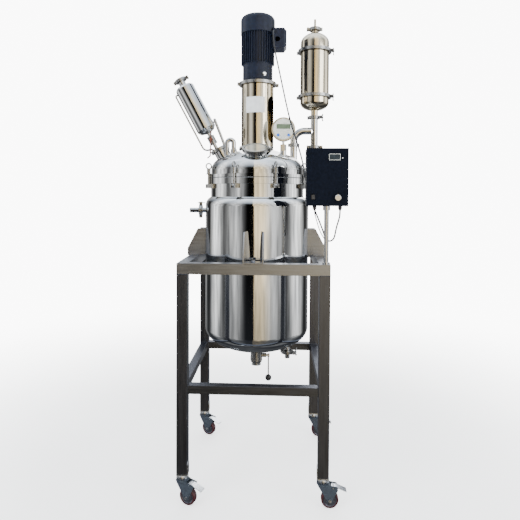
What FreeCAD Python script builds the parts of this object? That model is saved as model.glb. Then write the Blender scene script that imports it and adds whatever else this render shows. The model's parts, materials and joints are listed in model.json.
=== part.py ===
import FreeCAD, Part
import math
import os

# Jacketed stainless steel reactor on a wheeled frame, millimetres, +Z up.
# The vessel axis is the Z axis and the floor under the wheels is z = 0.
# +X is the control box side, -Y is the front.

V = FreeCAD.Vector
AXIS_X = V(1, 0, 0)
AXIS_Y = V(0, 1, 0)
AXIS_Z = V(0, 0, 1)

# Fits shared by every moving pair and every seat
running_clearance = 0.05
seat_gap = 0.3

# Frame of square tube
frame_width = 700.0
frame_depth = 700.0
frame_top = 1119.0
leg_size = 50.0
leg_wall = 2.5
leg_bottom = 143.0
low_rail_size = 40.0
low_rail_wall = 2.0
low_rail_top = 557.0

# Casters
wheel_radius = 40.0
wheel_width = 30.0
tread_depth = 9.0
caster_trail = 31.0
axle_radius = 4.0
cheek_thickness = 3.0
cheek_side_gap = 2.0
crown_radius = 29.0
crown_thickness = 8.0
race_height = 19.0
bracket_plate = 6.0
bracket_tab_height = 44.0
bracket_tab_width = 34.0
bracket_tab_thickness = 3.0
kingpin_radius = 6.0
kingpin_head_radius = 10.0
kingpin_head_height = 7.0
pedal_pivot_x = 46.0
pedal_pivot_height = 98.0
pedal_pin_radius = 3.0
pedal_reach = 107.0
pedal_thickness = 3.0
pedal_drop = 15.0
caster_yaw = {"front_left": -20.0, "front_right": 0.0, "rear_left": -24.0, "rear_right": 0.0}

# Vessel and jacket
shell_radius = 241.0
shell_wall = 4.0
inner_dish_depth = 104.0
inner_tangent_z = 760.0
jacket_gap = 23.8
jacket_wall = 3.0
jacket_radius = shell_radius + jacket_gap + jacket_wall
jacket_dish_depth = 119.0
jacket_tangent_z = 747.0
shoulder_top_z = 1423.0
shoulder_bottom_z = 1378.0
flange_overhang = 13.0
flange_radius = shell_radius + flange_overhang
lower_flange_bottom = 1487.0
lower_flange_thickness = 30.0
gasket_thickness = 3.0
upper_flange_thickness = 15.0

# Swing bolts round the flange
bolt_count = 8
bolt_circle_overhang = 6.0
bolt_circle_radius = flange_radius + bolt_circle_overhang
bolt_radius = 6.0
bolt_notch_radius = 7.0
bolt_pivot_drop = 11.0
bolt_eye_radius = 9.0
bolt_eye_width = 14.0
bolt_pin_radius = 4.0
lug_ear_thickness = 7.0
lug_ear_height = 21.0
lug_reach = 13.0
nut_collar_radius = 13.0
nut_collar_height = 4.0
nut_body_radius = 10.0
nut_body_height = 24.0
nut_ring_radius = 13.5
nut_ring_wire = 3.6

# Lid
lid_set_back = 1.0
lid_radius = shell_radius - lid_set_back
lid_wall = 4.0
lid_straight = 20.0
lid_depth = 120.0
lid_knuckle = 74.0
neck_inset = 10.0

# Charging port at the front of the lid
port_tilt = 25.0
port_offset = 165.0
port_neck_radius = 50.8
port_wall = 2.0
port_neck_height = 20.0
port_ferrule_radius = 59.5
port_cover_thickness = 7.0

# Dosing port at the left of the lid
dose_tilt = 28.2
dose_offset = 175.5
dose_neck_radius = 38.1
dose_neck_height = 42.0
dose_ferrule_radius = 45.5
dose_cap_thickness = 9.0

# Clamp ferrules
ferrule_thickness = 4.0
clamp_wall = 6.0
clamp_lip = 4.0
clamp_height = 15.0
clamp_slot = 3.0
cap_step = 6.0
clamp_bolt_radius = 3.0

# Agitator column
column_radius = 83.5
column_wall = 4.0
column_base_z = 1684.0
column_top_z = 2008.0
column_ferrule_radius = 91.0
window_azimuth = -24.0
window_width = 68.0
window_bottom = 1702.0
window_top = 1940.0

# Agitator
shaft_radius = 12.5
shaft_bottom = 716.0
shaft_top = 1846.0
coupling_radius = 30.0
coupling_bottom = 1822.0
coupling_top = 1900.0
impeller_radius = 125.0
impeller_hub_radius = 24.0
impeller_hub_height = 46.0
impeller_blade_height = 42.0
impeller_blade_thickness = 5.0
impeller_blade_pitch = 45.0
impeller_blades = 4
impeller_heights = (722.0, 1010.0)
seal_radius = 34.0
seal_top = 1746.0

# Reduction gear and motor
gear_module = 1.5
pinion_teeth = 12
wheel_teeth = 36
half_turn = 180.0
gear_width = 12.0
output_gear_z = 2036.0
input_gear_z = 2066.0
gearbox_radius = 77.5
gearbox_wall = 6.0
gearbox_floor = 10.0
gearbox_top = 2105.0
output_shaft_radius = 12.0
input_shaft_radius = 7.0
motor_radius = 86.5
fin_height = 8.5
fin_thickness = 3.0
fin_count = 40
motor_shield = 10.0
motor_top = 2273.0
rotor_radius = 37.0
air_gap = 0.5
stator_radius = 66.0
rotor_height = 90.0
cowl_radius = 89.0
cowl_wall = 2.0
cowl_top = 2358.0
cowl_edge_radius = 26.0
fan_radius = 70.0
fan_blades = 7

# Terminal box on the motor's right side
terminal_outer = 149.0
terminal_split = 121.0
terminal_half_width = 50.0
terminal_bottom = 2187.0
terminal_height = 99.0
terminal_top = terminal_bottom + terminal_height
terminal_chamfer = 13.0
terminal_wall = 3.0
terminal_exit = (82.0, 2258.0)
terminal_knockout = (102.5, 2229.0)
terminal_knockout_radius = 13.0

# Dosing funnel, lengths along its own tilted axis from the port cap
funnel_shift = -14.5
funnel_radius = 50.8
funnel_wall = 2.0
funnel_bottom = 111.0
funnel_top = 372.0
funnel_dome = 16.0
funnel_neck_radius = 19.0
funnel_top_ferrule_radius = 25.2
funnel_cap_at = 408.0
funnel_stem_radius = 9.5
tap_at = 54.0
tap_radius = 20.0
tap_length = 44.0
tap_ball_radius = 14.0
tap_bore_radius = 7.0
tap_stem_radius = 4.0
tap_stem_reach = 42.0
tap_lever_up = 44.0
tap_lever_down = 86.0
tap_lever_radius = 3.5
side_tube_radius = 5.0
side_tube_offset = 62.5
side_tube_foot = 19.7
side_tube_bends = [7.5, 28.0, 14.0]
vent_hose_foot = 45.0
vent_hose_offset = 63.0
vent_hose_top = 150.0
vent_hose_crest = 8.0
vent_hose_valley = 7.0
vent_hose_bore = 5.5
vent_hose_pitch = 5.0
vent_hose_ribs = 26
return_x = -136.0
return_y = -50.0
return_top_z = 1728.0
return_bend_radius = 17.0
return_tube_radius = 12.0
return_socket_height = 14.0

# Temperature gauge
gauge_x = 135.0
gauge_y = -100.0
gauge_z = 1761.0
gauge_radius = 59.0
gauge_depth = 44.0
gauge_wall = 3.0
gauge_lens_radius = 52.0
gauge_stem_radius = 6.0
gauge_hex_flats = 27.0
gauge_hex_bottom = 1654.0
gauge_hex_top = 1686.0
gauge_button_radius = 7.0
gauge_button_spread = 26.0
gauge_button_drop = 30.0
gauge_button_stand = 2.5
probe_radius = 4.0
probe_bottom = 900.0

# Vapour line and reflux column
vapour_x = 192.0
vapour_y = 87.0
vapour_tube_radius = 19.05
vapour_wall = 1.6
vapour_ferrule_radius = 25.2
vapour_joint_z = 1703.0
vapour_bend_radius = 57.0
tee_x = 302.0
tee_bottom = 1693.0
tee_top = 1852.0
reflux_radius = 76.2
reflux_wall = 2.0
reflux_ferrule_radius = 83.5
reflux_low_joint = 1961.0
reflux_high_joint = 2203.0
reflux_low_depth = 73.0
reflux_high_depth = 98.0
reflux_neck_height = 21.0
reflux_bottom = reflux_low_joint - reflux_low_depth
reflux_crown = reflux_high_joint + reflux_high_depth
reflux_cap_joint = reflux_crown + reflux_neck_height
vent_radius = 6.0
vent_height = 53.0
vent_top = reflux_cap_joint + vent_height

# Control box on its post
post_x = 331.0
post_y = -325.0
post_radius = 11.0
post_wall = 1.5
post_collar_radius = 16.5
post_collar_height = 20.0
post_foot_radius = 18.0
post_foot_height = 8.0
box_left = 237.0
box_right = 421.0
box_bottom = 1384.0
box_top = 1640.0
box_front = -385.0
box_back = -265.0
box_wall = 2.0
box_corner = 6.0
display_x = (336.0, 383.0)
display_z = (1588.0, 1613.0)
knob_x = 374.0
knob_z = 1421.0
knob_radius = 15.5
knob_height = 17.0
switch_x = 266.0
switch_z = 1424.0
switch_width = 15.0
switch_height = 21.0
switch_pivot_depth = 1.0
switch_swing_gap = 1.0
switch_rim = 3.0
switch_pin_radius = 1.5
switch_pin_reach = 1.4
gland_radius = 9.0
gland_height = 20.0
motor_gland_x = 392.0
probe_gland_x = 277.0

# Cables
motor_cable_radius = 3.8
probe_cable_radius = 2.4

# Support lugs between jacket and frame
lug_spread = 95.0
lug_plate = 6.0
lug_top = 1259.0
lug_top_reach = 305.0
lug_shoulder_z = 1157.0
lug_overhang = 8.0
lug_bolt_radius = 6.0

# Jacket ports
jacket_port_radius = 12.7
jacket_port_wall = 1.6
jacket_nozzle_wall = 2.8
jacket_ferrule_radius = 25.2
jacket_port_z = 1352.0
jacket_port_joint = 297.0
jacket_port_end = 354.0
drain_port_x = 162.0
drain_port_y = -70.0
drain_joint_z = 632.0
drain_end_z = 600.0

# Discharge valve under the dish
outlet_radius = 25.4
outlet_wall = 3.0
outlet_flange_radius = 34.0
outlet_joint_z = 614.0
outlet_flange_thickness = 8.0
valve_radius = 30.0
valve_centre_z = 588.0
valve_bottom = 560.0
valve_ball_radius = 22.0
valve_bore_radius = 14.0
valve_stem_radius = 5.0
union_radius = 31.5
union_height = 20.0
union_ribs = 16
tail_radius = 21.0
tail_bore_radius = 16.0
tail_ferrule_radius = 25.2
tail_bottom = 538.0
handle_x = 64.0
handle_hub_radius = 9.0
handle_length = 119.0
handle_rod_radius = 3.5
handle_knob_radius = 16.5

motor_cable_route = [
    (82, -72, 2258), (82, -84, 2258), (82, -98, 2251), (82, -108, 2232), (83, -112, 2204),
    (87, -113, 2166), (99, -113, 2110), (117, -114, 2030), (135, -118, 1945), (153, -125, 1862),
    (172, -134, 1785), (197, -150, 1706), (218, -173, 1635), (233, -203, 1565), (243, -232, 1492),
    (257, -250, 1428), (280, -265, 1368), (302, -280, 1314), (318, -288, 1272), (328, -294, 1239),
    (336.5, -301, 1226), (349, -310, 1222), (361, -319, 1229), (368, -324, 1243),
    (372, -325, 1264), (377, -325, 1289), (385, -325, 1315), (392, -325, 1341), (392, -325, 1364)]

probe_cable_route = [
    (277, -325, 1364), (277, -325, 1352), (281, -324, 1337), (287, -321, 1318), (293, -317, 1298),
    (301, -312, 1275), (311, -306, 1253), (321, -301, 1238), (328, -300, 1230), (331, -307, 1226),
    (331, -313.5, 1226)]


def box(x0, x1, y0, y1, z0, z1):
    return Part.makeBox(x1 - x0, y1 - y0, z1 - z0, V(x0, y0, z0))


def rod(radius, start, end):
    span = end - start
    return Part.makeCylinder(radius, span.Length, start, span)


def upright(radius, z0, z1, x=0.0, y=0.0):
    return Part.makeCylinder(radius, z1 - z0, V(x, y, z0))


def pipe(radius, wall, start, end):
    return rod(radius, start, end).cut(rod(radius - wall, start, end))


def join(shapes):
    whole = shapes[0]
    for shape in shapes[1:]:
        whole = whole.fuse(shape)
    return whole.removeSplitter()


def prism(points, direction):
    loop = [V(*p) for p in points]
    face = Part.Face(Part.makePolygon(loop + loop[:1]))
    return face.extrude(direction)


def turned(edges):
    face = Part.Face(Part.Wire(Part.__sortEdges__(edges)))
    return face.revolve(V(0, 0, 0), AXIS_Z, 360)


def lines(points):
    corners = [V(r, 0, z) for r, z in points]
    return [Part.LineSegment(a, b).toShape() for a, b in zip(corners, corners[1:])]


def spin(points):
    return turned(lines(points + points[:1]))


def arc(start, middle, end):
    ends = [V(p[0], 0, p[1]) for p in (start, middle, end)]
    return Part.Arc(*ends).toShape()


def dish_height(radius, depth, at):
    return depth * math.sqrt(1 - (at / radius) ** 2)


def dish_edge(radius, depth, tangent_z, stop, side):
    # Quarter ellipse of a dished head from its rim to the radius named stop
    curve = Part.Ellipse(V(radius, 0, tangent_z), V(0, 0, tangent_z + side * depth), V(0, 0, tangent_z))
    return Part.Arc(curve, 0, math.acos(stop / radius)).toShape()


def aim(shape, origin, direction):
    # Carries a shape built along +Z at the origin to a point and a direction
    turn = FreeCAD.Rotation(AXIS_Z, direction)
    shape = shape.copy()
    shape.Placement = FreeCAD.Placement(origin, turn).multiply(shape.Placement)
    return shape


def around(shape, degrees):
    shape = shape.copy()
    shape.rotate(V(0, 0, 0), AXIS_Z, degrees)
    return shape


def moved(shape, x, y, z):
    shape = shape.copy()
    shape.translate(V(x, y, z))
    return shape


def cord(points, radius, label):
    # Straight runs joined by arcs that touch both runs
    spots = [V(*p) for p in points]
    edges = []
    length = 0.0
    tightest = 1e9
    here = spots[0]
    for before, corner, after in zip(spots, spots[1:], spots[2:]):
        back = before - corner
        ahead = after - corner
        turn = math.pi - back.getAngle(ahead)
        trim = 0.45 * min(back.Length, ahead.Length)
        bend = trim / math.tan(turn / 2)
        tightest = min(tightest, bend)
        back.normalize()
        ahead.normalize()
        start = corner + back * trim
        end = corner + ahead * trim
        inward = back + ahead
        inward.normalize()
        middle = corner + inward * (bend / math.cos(turn / 2) - bend)
        edges.append(Part.LineSegment(here, start).toShape())
        edges.append(Part.Arc(start, middle, end).toShape())
        length += (start - here).Length + bend * turn
        here = end
    edges.append(Part.LineSegment(here, spots[-1]).toShape())
    length += (spots[-1] - here).Length
    path = Part.Wire(edges)
    ring = Part.Wire(Part.makeCircle(radius, spots[0], spots[1] - spots[0]))
    tube = path.makePipeShell([ring], True, False)
    expected = math.pi * radius ** 2 * length
    print(label, "length", round(length, 1), "tightest arc", round(tightest, 1),
          "volume ratio", round(tube.Volume / expected, 4))
    return tube


def tube_along(points, bend, radius, wall):
    # Metal tube bent at each inner point, to one radius or to a list of them
    spots = [V(*p) for p in points]
    bends = bend if isinstance(bend, list) else [bend] * (len(points) - 2)
    edges = []
    here = spots[0]
    for before, corner, after, bend in zip(spots, spots[1:], spots[2:], bends):
        back = before - corner
        ahead = after - corner
        turn = math.pi - back.getAngle(ahead)
        trim = bend * math.tan(turn / 2)
        back.normalize()
        ahead.normalize()
        start = corner + back * trim
        end = corner + ahead * trim
        inward = back + ahead
        inward.normalize()
        middle = corner + inward * (bend / math.cos(turn / 2) - bend)
        if (start - here).Length > 0.01:
            edges.append(Part.LineSegment(here, start).toShape())
        edges.append(Part.Arc(start, middle, end).toShape())
        here = end
    edges.append(Part.LineSegment(here, spots[-1]).toShape())
    path = Part.Wire(edges)
    outer = path.makePipeShell([Part.Wire(Part.makeCircle(radius, spots[0], spots[1] - spots[0]))], True, False)
    if wall <= 0:
        return outer
    bore = Part.Wire(Part.makeCircle(radius - wall, spots[0], spots[1] - spots[0]))
    return outer.cut(path.makePipeShell([bore], True, False))


def hexagon(flats, z0, z1):
    corner = flats / math.sqrt(3)
    points = []
    for step in range(6):
        angle = math.radians(60 * step)
        points.append((corner * math.cos(angle), corner * math.sin(angle), z0))
    return prism(points, V(0, 0, z1 - z0))


def legs():
    reach_x = (frame_width - leg_size) / 2
    reach_y = (frame_depth - leg_size) / 2
    half = leg_size / 2
    hole = half - leg_wall
    top = frame_top - leg_size
    shapes = []
    for x in (-reach_x, reach_x):
        for y in (-reach_y, reach_y):
            post = box(x - half, x + half, y - half, y + half, leg_bottom, top)
            post = post.cut(box(x - hole, x + hole, y - hole, y + hole, leg_bottom + leg_wall, top))
            shapes.append(post)
    return shapes


def mitred_rail(length, depth, size, wall, top):
    # One side of a mitred square ring, its outer face at -Y
    outer = length / 2
    face_y = -depth / 2
    bar = prism([(-outer, face_y, top - size), (outer, face_y, top - size),
                 (outer - size, face_y + size, top - size), (size - outer, face_y + size, top - size)],
                V(0, 0, size))
    hole = box(-outer, outer, face_y + wall, face_y + size - wall, top - size + wall, top - wall)
    return bar.cut(hole)


def top_rails():
    shapes = []
    for quarter in range(4):
        across = quarter % 2
        length = frame_depth if across else frame_width
        depth = frame_width if across else frame_depth
        rail = mitred_rail(length, depth, leg_size, leg_wall, frame_top)
        bolt_y = -(depth - leg_size) / 2
        hole = upright(lug_bolt_radius + running_clearance, frame_top - leg_size / 2, frame_top, 0, bolt_y)
        shapes.append(around(rail.cut(hole), 90 * quarter))
    return shapes


def lower_rails():
    half = low_rail_size / 2
    hole = half - low_rail_wall
    bottom = low_rail_top - low_rail_size
    shapes = []
    for quarter in range(4):
        across = quarter % 2
        reach = (frame_depth if across else frame_width) / 2 - leg_size
        y = -((frame_width if across else frame_depth) - leg_size) / 2
        rail = box(-reach, reach, y - half, y + half, bottom, low_rail_top)
        rail = rail.cut(box(-reach, reach, y - hole, y + hole, bottom + low_rail_wall,
                            low_rail_top - low_rail_wall))
        shapes.append(around(rail, 90 * quarter))
    return shapes


def caster_places():
    reach_x = (frame_width - leg_size) / 2
    reach_y = (frame_depth - leg_size) / 2
    return {"front_left": (-reach_x, -reach_y), "front_right": (reach_x, -reach_y),
            "rear_left": (-reach_x, reach_y), "rear_right": (reach_x, reach_y)}


def crown_top():
    return leg_bottom - bracket_plate - race_height - seat_gap


def caster_bracket(side):
    # Plate under the leg, tab up its inner side, bearing race and kingpin
    half = leg_size / 2
    plate = box(-half, half, -half, half, leg_bottom - bracket_plate, leg_bottom)
    inner = half if side < 0 else -half - bracket_tab_thickness
    tab = box(inner, inner + bracket_tab_thickness, -bracket_tab_width / 2, bracket_tab_width / 2,
              leg_bottom - bracket_plate, leg_bottom + bracket_tab_height)
    race_top = leg_bottom - bracket_plate
    race_foot = race_top - race_height
    race = spin([(0, race_foot), (crown_radius - 3, race_foot), (crown_radius - 1, race_foot + 4),
                 (crown_radius - 1, race_top - 4), (crown_radius - 3, race_top), (0, race_top)])
    pin_foot = crown_top() - crown_thickness - seat_gap - kingpin_head_height
    pin = upright(kingpin_radius, pin_foot, race_foot)
    head = upright(kingpin_head_radius, pin_foot, pin_foot + kingpin_head_height)
    return join([plate, tab, race, pin, head])


def caster_fork():
    inner = wheel_width / 2 + cheek_side_gap
    outer = inner + cheek_thickness
    top = crown_top()
    under = top - crown_thickness
    crown = upright(crown_radius, under, top)
    crown = crown.fuse(box(-crown_radius + 4, caster_trail, -outer, outer, under, under + cheek_thickness))
    crown = crown.cut(upright(kingpin_radius + running_clearance, under, top))
    skirt = axle_radius + 11
    sheet = prism([(-crown_radius + 4, -outer, under), (caster_trail, -outer, under),
                   (caster_trail + 34, -outer, under - 6), (caster_trail + 37, -outer, under - 20),
                   (caster_trail + skirt, -outer, wheel_radius + 8),
                   (caster_trail + skirt - 4, -outer, wheel_radius - skirt + 4),
                   (caster_trail - skirt + 4, -outer, wheel_radius - skirt + 4),
                   (caster_trail - skirt, -outer, wheel_radius + 2)], V(0, cheek_thickness, 0))
    far_sheet = sheet.mirror(V(0, 0, 0), AXIS_Y)
    fork = join([crown, sheet, far_sheet])
    hub = V(caster_trail, 0, wheel_radius)
    side = V(0, outer + 4, 0)
    axle = rod(axle_radius, hub - side, hub + side)
    for way in (-1, 1):
        start = hub + V(0, way * outer, 0)
        axle = axle.fuse(rod(axle_radius + 3, start, start + V(0, way * 4, 0)))
    fork = fork.cut(rod(axle_radius, hub - side, hub + side))
    pivot = V(pedal_pivot_x, 0, pedal_pivot_height)
    reach = V(0, outer, 0)
    pin = rod(pedal_pin_radius, pivot - reach, pivot + reach)
    fork = fork.cut(pin)
    return [fork, axle.removeSplitter(), pin]


def caster_wheel():
    half = wheel_width / 2
    rim = wheel_radius - tread_depth
    bore = axle_radius + running_clearance
    hub = spin([(bore, -half), (rim * 0.45, -half), (rim * 0.55, -half + 5), (rim - 4, -half + 5),
                (rim, -half + 2), (rim, half - 2), (rim - 4, half - 5), (rim * 0.55, half - 5),
                (rim * 0.45, half), (bore, half)])
    edge = tread_depth * 0.6
    flank = half - 1
    swell = edge * math.sqrt(0.5)
    outer = wheel_radius - edge
    tread = turned([arc((outer, flank), (outer + swell, flank - edge + swell), (wheel_radius, flank - edge)),
                    arc((wheel_radius, edge - flank), (outer + swell, edge - flank - swell), (outer, -flank))]
                   + lines([(wheel_radius, flank - edge), (wheel_radius, edge - flank)])
                   + lines([(outer, -flank), (rim, 2 - half), (rim, half - 2), (outer, flank)]))
    centre = V(caster_trail, 0, wheel_radius)
    return [aim(hub, centre, AXIS_Y), aim(tread, centre, AXIS_Y)]


def brake_pedal():
    half = wheel_width / 2 + cheek_side_gap - 0.5
    z = pedal_pivot_height
    x = pedal_pivot_x
    boss = rod(pedal_pin_radius + 3, V(x, -half, z), V(x, half, z))
    slope = pedal_drop / (pedal_reach - x)
    tongue = prism([(x - 8, -half, z + 5), (x + 14, -half, z + 4), (pedal_reach, -half, z - slope * (pedal_reach - x)),
                    (pedal_reach, -half, z - slope * (pedal_reach - x) - pedal_thickness),
                    (x + 14, -half, z + 4 - pedal_thickness), (x - 8, -half, z + 5 - pedal_thickness)],
                   V(0, 2 * half, 0))
    shape = join([boss, tongue])
    return shape.cut(rod(pedal_pin_radius + running_clearance, V(x, -half, z), V(x, half, z)))


def flange_notches(z0, z1):
    cutters = []
    for index in range(bolt_count):
        angle = math.radians(22.5 + index * 360 / bolt_count)
        x = bolt_circle_radius * math.cos(angle)
        y = bolt_circle_radius * math.sin(angle)
        cutters.append(upright(bolt_notch_radius, z0, z1, x, y))
    return Part.makeCompound(cutters)


def inner_vessel():
    # Shell tube, flange ring and dished end with its outlet, welded together
    outer = shell_radius
    bore = shell_radius - shell_wall
    flange_top = lower_flange_bottom + lower_flange_thickness
    outlet_bore = outlet_radius - outlet_wall
    rim_foot = outlet_joint_z + outlet_flange_thickness
    outside_z = inner_tangent_z - dish_height(outer, inner_dish_depth, outlet_radius)
    inside_z = inner_tangent_z - dish_height(bore, inner_dish_depth - shell_wall, outlet_bore)
    tube = upright(outer, inner_tangent_z, flange_top).cut(upright(bore, inner_tangent_z, flange_top))
    ring = upright(flange_radius, lower_flange_bottom, flange_top)
    ring = ring.cut(upright(outer, lower_flange_bottom, flange_top)).cut(
        flange_notches(lower_flange_bottom, flange_top))
    edges = lines([(bore, inner_tangent_z), (outer, inner_tangent_z)])
    edges.append(dish_edge(outer, inner_dish_depth, inner_tangent_z, outlet_radius, -1))
    edges += lines([(outlet_radius, outside_z), (outlet_radius, rim_foot), (outlet_flange_radius, rim_foot),
                    (outlet_flange_radius, outlet_joint_z), (outlet_bore, outlet_joint_z), (outlet_bore, inside_z)])
    edges.append(dish_edge(bore, inner_dish_depth - shell_wall, inner_tangent_z, outlet_bore, -1))
    return [tube, ring, turned(edges)]


def jacket_ports():
    # Inner and outer end of the nozzle on the left and of the drain nozzle under the dish
    upper = (V(jacket_wall / 2 - jacket_radius, 0, jacket_port_z), V(-jacket_port_joint, 0, jacket_port_z))
    far = math.hypot(drain_port_x, drain_port_y) + jacket_port_radius
    top = jacket_tangent_z - dish_height(jacket_radius, jacket_dish_depth, far) + 2 * jacket_wall
    drain = (V(drain_port_x, drain_port_y, top), V(drain_port_x, drain_port_y, drain_joint_z))
    return [upper, drain]


def jacket():
    # Shoulder ring, tube and dished end, with a hole for each nozzle
    outer = jacket_radius
    inner = jacket_radius - jacket_wall
    start = shell_radius
    mid_r = start + 0.67 * (outer - start)
    mid_z = shoulder_bottom_z + 0.67 * (shoulder_top_z - shoulder_bottom_z)
    low_outer = jacket_tangent_z - dish_height(outer, jacket_dish_depth, outlet_radius)
    low_inner = jacket_tangent_z - dish_height(inner, jacket_dish_depth - jacket_wall, outlet_radius)
    edges = [arc((start, shoulder_top_z), (mid_r, mid_z), (outer, shoulder_bottom_z))]
    edges += lines([(outer, shoulder_bottom_z), (inner, shoulder_bottom_z)])
    edges.append(arc((inner, shoulder_bottom_z), (mid_r - jacket_wall, mid_z - jacket_wall * 0.6),
                     (start, shoulder_top_z - jacket_wall * 1.4)))
    edges += lines([(start, shoulder_top_z - jacket_wall * 1.4), (start, shoulder_top_z)])
    shoulder = turned(edges)
    tube = upright(outer, jacket_tangent_z, shoulder_bottom_z).cut(
        upright(inner, jacket_tangent_z, shoulder_bottom_z))
    edges = lines([(inner, jacket_tangent_z), (outer, jacket_tangent_z)])
    edges.append(dish_edge(outer, jacket_dish_depth, jacket_tangent_z, outlet_radius, -1))
    edges += lines([(outlet_radius, low_outer), (outlet_radius, low_inner)])
    edges.append(dish_edge(inner, jacket_dish_depth - jacket_wall, jacket_tangent_z, outlet_radius, -1))
    dish = turned(edges)
    holes = []
    for begin, end in jacket_ports():
        holes.append(rod(jacket_port_radius, begin * 2 - end, end))
    return [shoulder, tube.cut(holes[0]), dish.cut(holes[1])]


def flange_gasket():
    base = lower_flange_bottom + lower_flange_thickness
    ring = upright(flange_radius - 6, base, base + gasket_thickness)
    return ring.cut(upright(shell_radius - shell_wall, base, base + gasket_thickness)).cut(
        flange_notches(base, base + gasket_thickness))


def bolt_pivot_z():
    return lower_flange_bottom - bolt_pivot_drop


def bolt_lugs():
    # Pairs of ears under the lower flange with a pivot pin through each pair
    shapes = []
    z = bolt_pivot_z()
    inner = bolt_eye_width / 2 + seat_gap
    outer = inner + lug_ear_thickness
    low = lower_flange_bottom - lug_ear_height
    reach = bolt_circle_radius + lug_reach
    shell = upright(shell_radius, low, lower_flange_bottom)
    pin = rod(bolt_pin_radius, V(bolt_circle_radius, -outer - 2, z), V(bolt_circle_radius, outer + 2, z))
    for index in range(bolt_count):
        angle = 22.5 + index * 360 / bolt_count
        for y in (-outer, inner):
            ear = box(shell_radius - 8, reach, y, y + lug_ear_thickness, low, lower_flange_bottom)
            shapes.append(around(ear.cut(shell).cut(pin), angle))
        shapes.append(around(pin, angle))
    return shapes


def lid_flange_top():
    return lower_flange_bottom + lower_flange_thickness + gasket_thickness + upper_flange_thickness


def swing_bolt(index):
    # Eye bolt and its lifting-eye nut, upright on the lid flange
    z = bolt_pivot_z()
    x = bolt_circle_radius
    half = bolt_eye_width / 2
    seat = lid_flange_top() + seat_gap
    body_top = seat + nut_collar_height + nut_body_height
    eye = rod(bolt_eye_radius, V(x, -half, z), V(x, half, z))
    shank = upright(bolt_radius, z, body_top - 6, x)
    bolt = join([eye, shank])
    bolt = bolt.cut(rod(bolt_pin_radius + running_clearance, V(x, -half, z), V(x, half, z)))
    nut = upright(nut_collar_radius, seat, seat + nut_collar_height, x)
    nut = nut.fuse(upright(nut_body_radius, seat, body_top, x))
    ring_z = body_top + nut_ring_radius
    ring = Part.makeTorus(nut_ring_radius, nut_ring_wire, V(x, 0, ring_z), AXIS_Y)
    nut = nut.fuse(ring).cut(upright(bolt_radius, seat, body_top - 6, x))
    angle = 22.5 + index * 360 / bolt_count
    return [around(bolt, angle), around(nut.removeSplitter(), angle)]


def lid_tangent_z():
    return lid_flange_top() + lid_straight


def crown_radius_of_lid():
    reach = lid_radius - lid_knuckle
    return (reach ** 2 + lid_depth ** 2 - lid_knuckle ** 2) / (2 * (lid_depth - lid_knuckle))


def lid_height(at, inset):
    # Height of the lid's domed skin over its tangent line, inset into the wall
    crown = crown_radius_of_lid()
    reach = lid_radius - lid_knuckle
    meet = reach * crown / (crown - lid_knuckle)
    if at < meet * (crown - inset) / crown:
        return math.sqrt((crown - inset) ** 2 - at ** 2) - (crown - lid_depth)
    return math.sqrt((lid_knuckle - inset) ** 2 - (at - reach) ** 2)


def lid_edges(stop, inset):
    # Knuckle and crown arcs of the lid from its straight side to the radius named stop
    crown = crown_radius_of_lid()
    reach = lid_radius - lid_knuckle
    tangent = lid_tangent_z()
    lean = math.atan2(crown - lid_depth, reach)
    knuckle = lid_knuckle - inset
    points = []
    for angle in (0, lean / 2, lean):
        points.append((reach + knuckle * math.cos(angle), tangent + knuckle * math.sin(angle)))
    top = (stop, tangent + lid_height(stop, inset))
    half = (points[2][0] + stop) / 2
    middle = (half, tangent + lid_height(half, inset))
    return [arc(*points), arc(points[2], middle, top)]


def lid_surface(at):
    return lid_tangent_z() + lid_height(at, 0)


def tilted(azimuth, tilt):
    lean = math.sin(math.radians(tilt))
    return V(lean * math.cos(math.radians(azimuth)), lean * math.sin(math.radians(azimuth)),
             math.cos(math.radians(tilt)))


def port_base():
    return V(0, -port_offset, lid_surface(port_offset))


def dose_base():
    return V(-dose_offset, 0, lid_surface(dose_offset))


def neck(radius, wall, ferrule, origin, direction, height):
    # Short tube let into the dome and ending in a clamp ferrule, with the cutter of its bore
    start = origin - direction * (lid_wall + neck_inset)
    end = origin + direction * height
    body = rod(radius, start, end).fuse(rod(ferrule, end - direction * ferrule_thickness, end))
    return body, rod(radius - wall, start - direction * 20, end)


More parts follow.
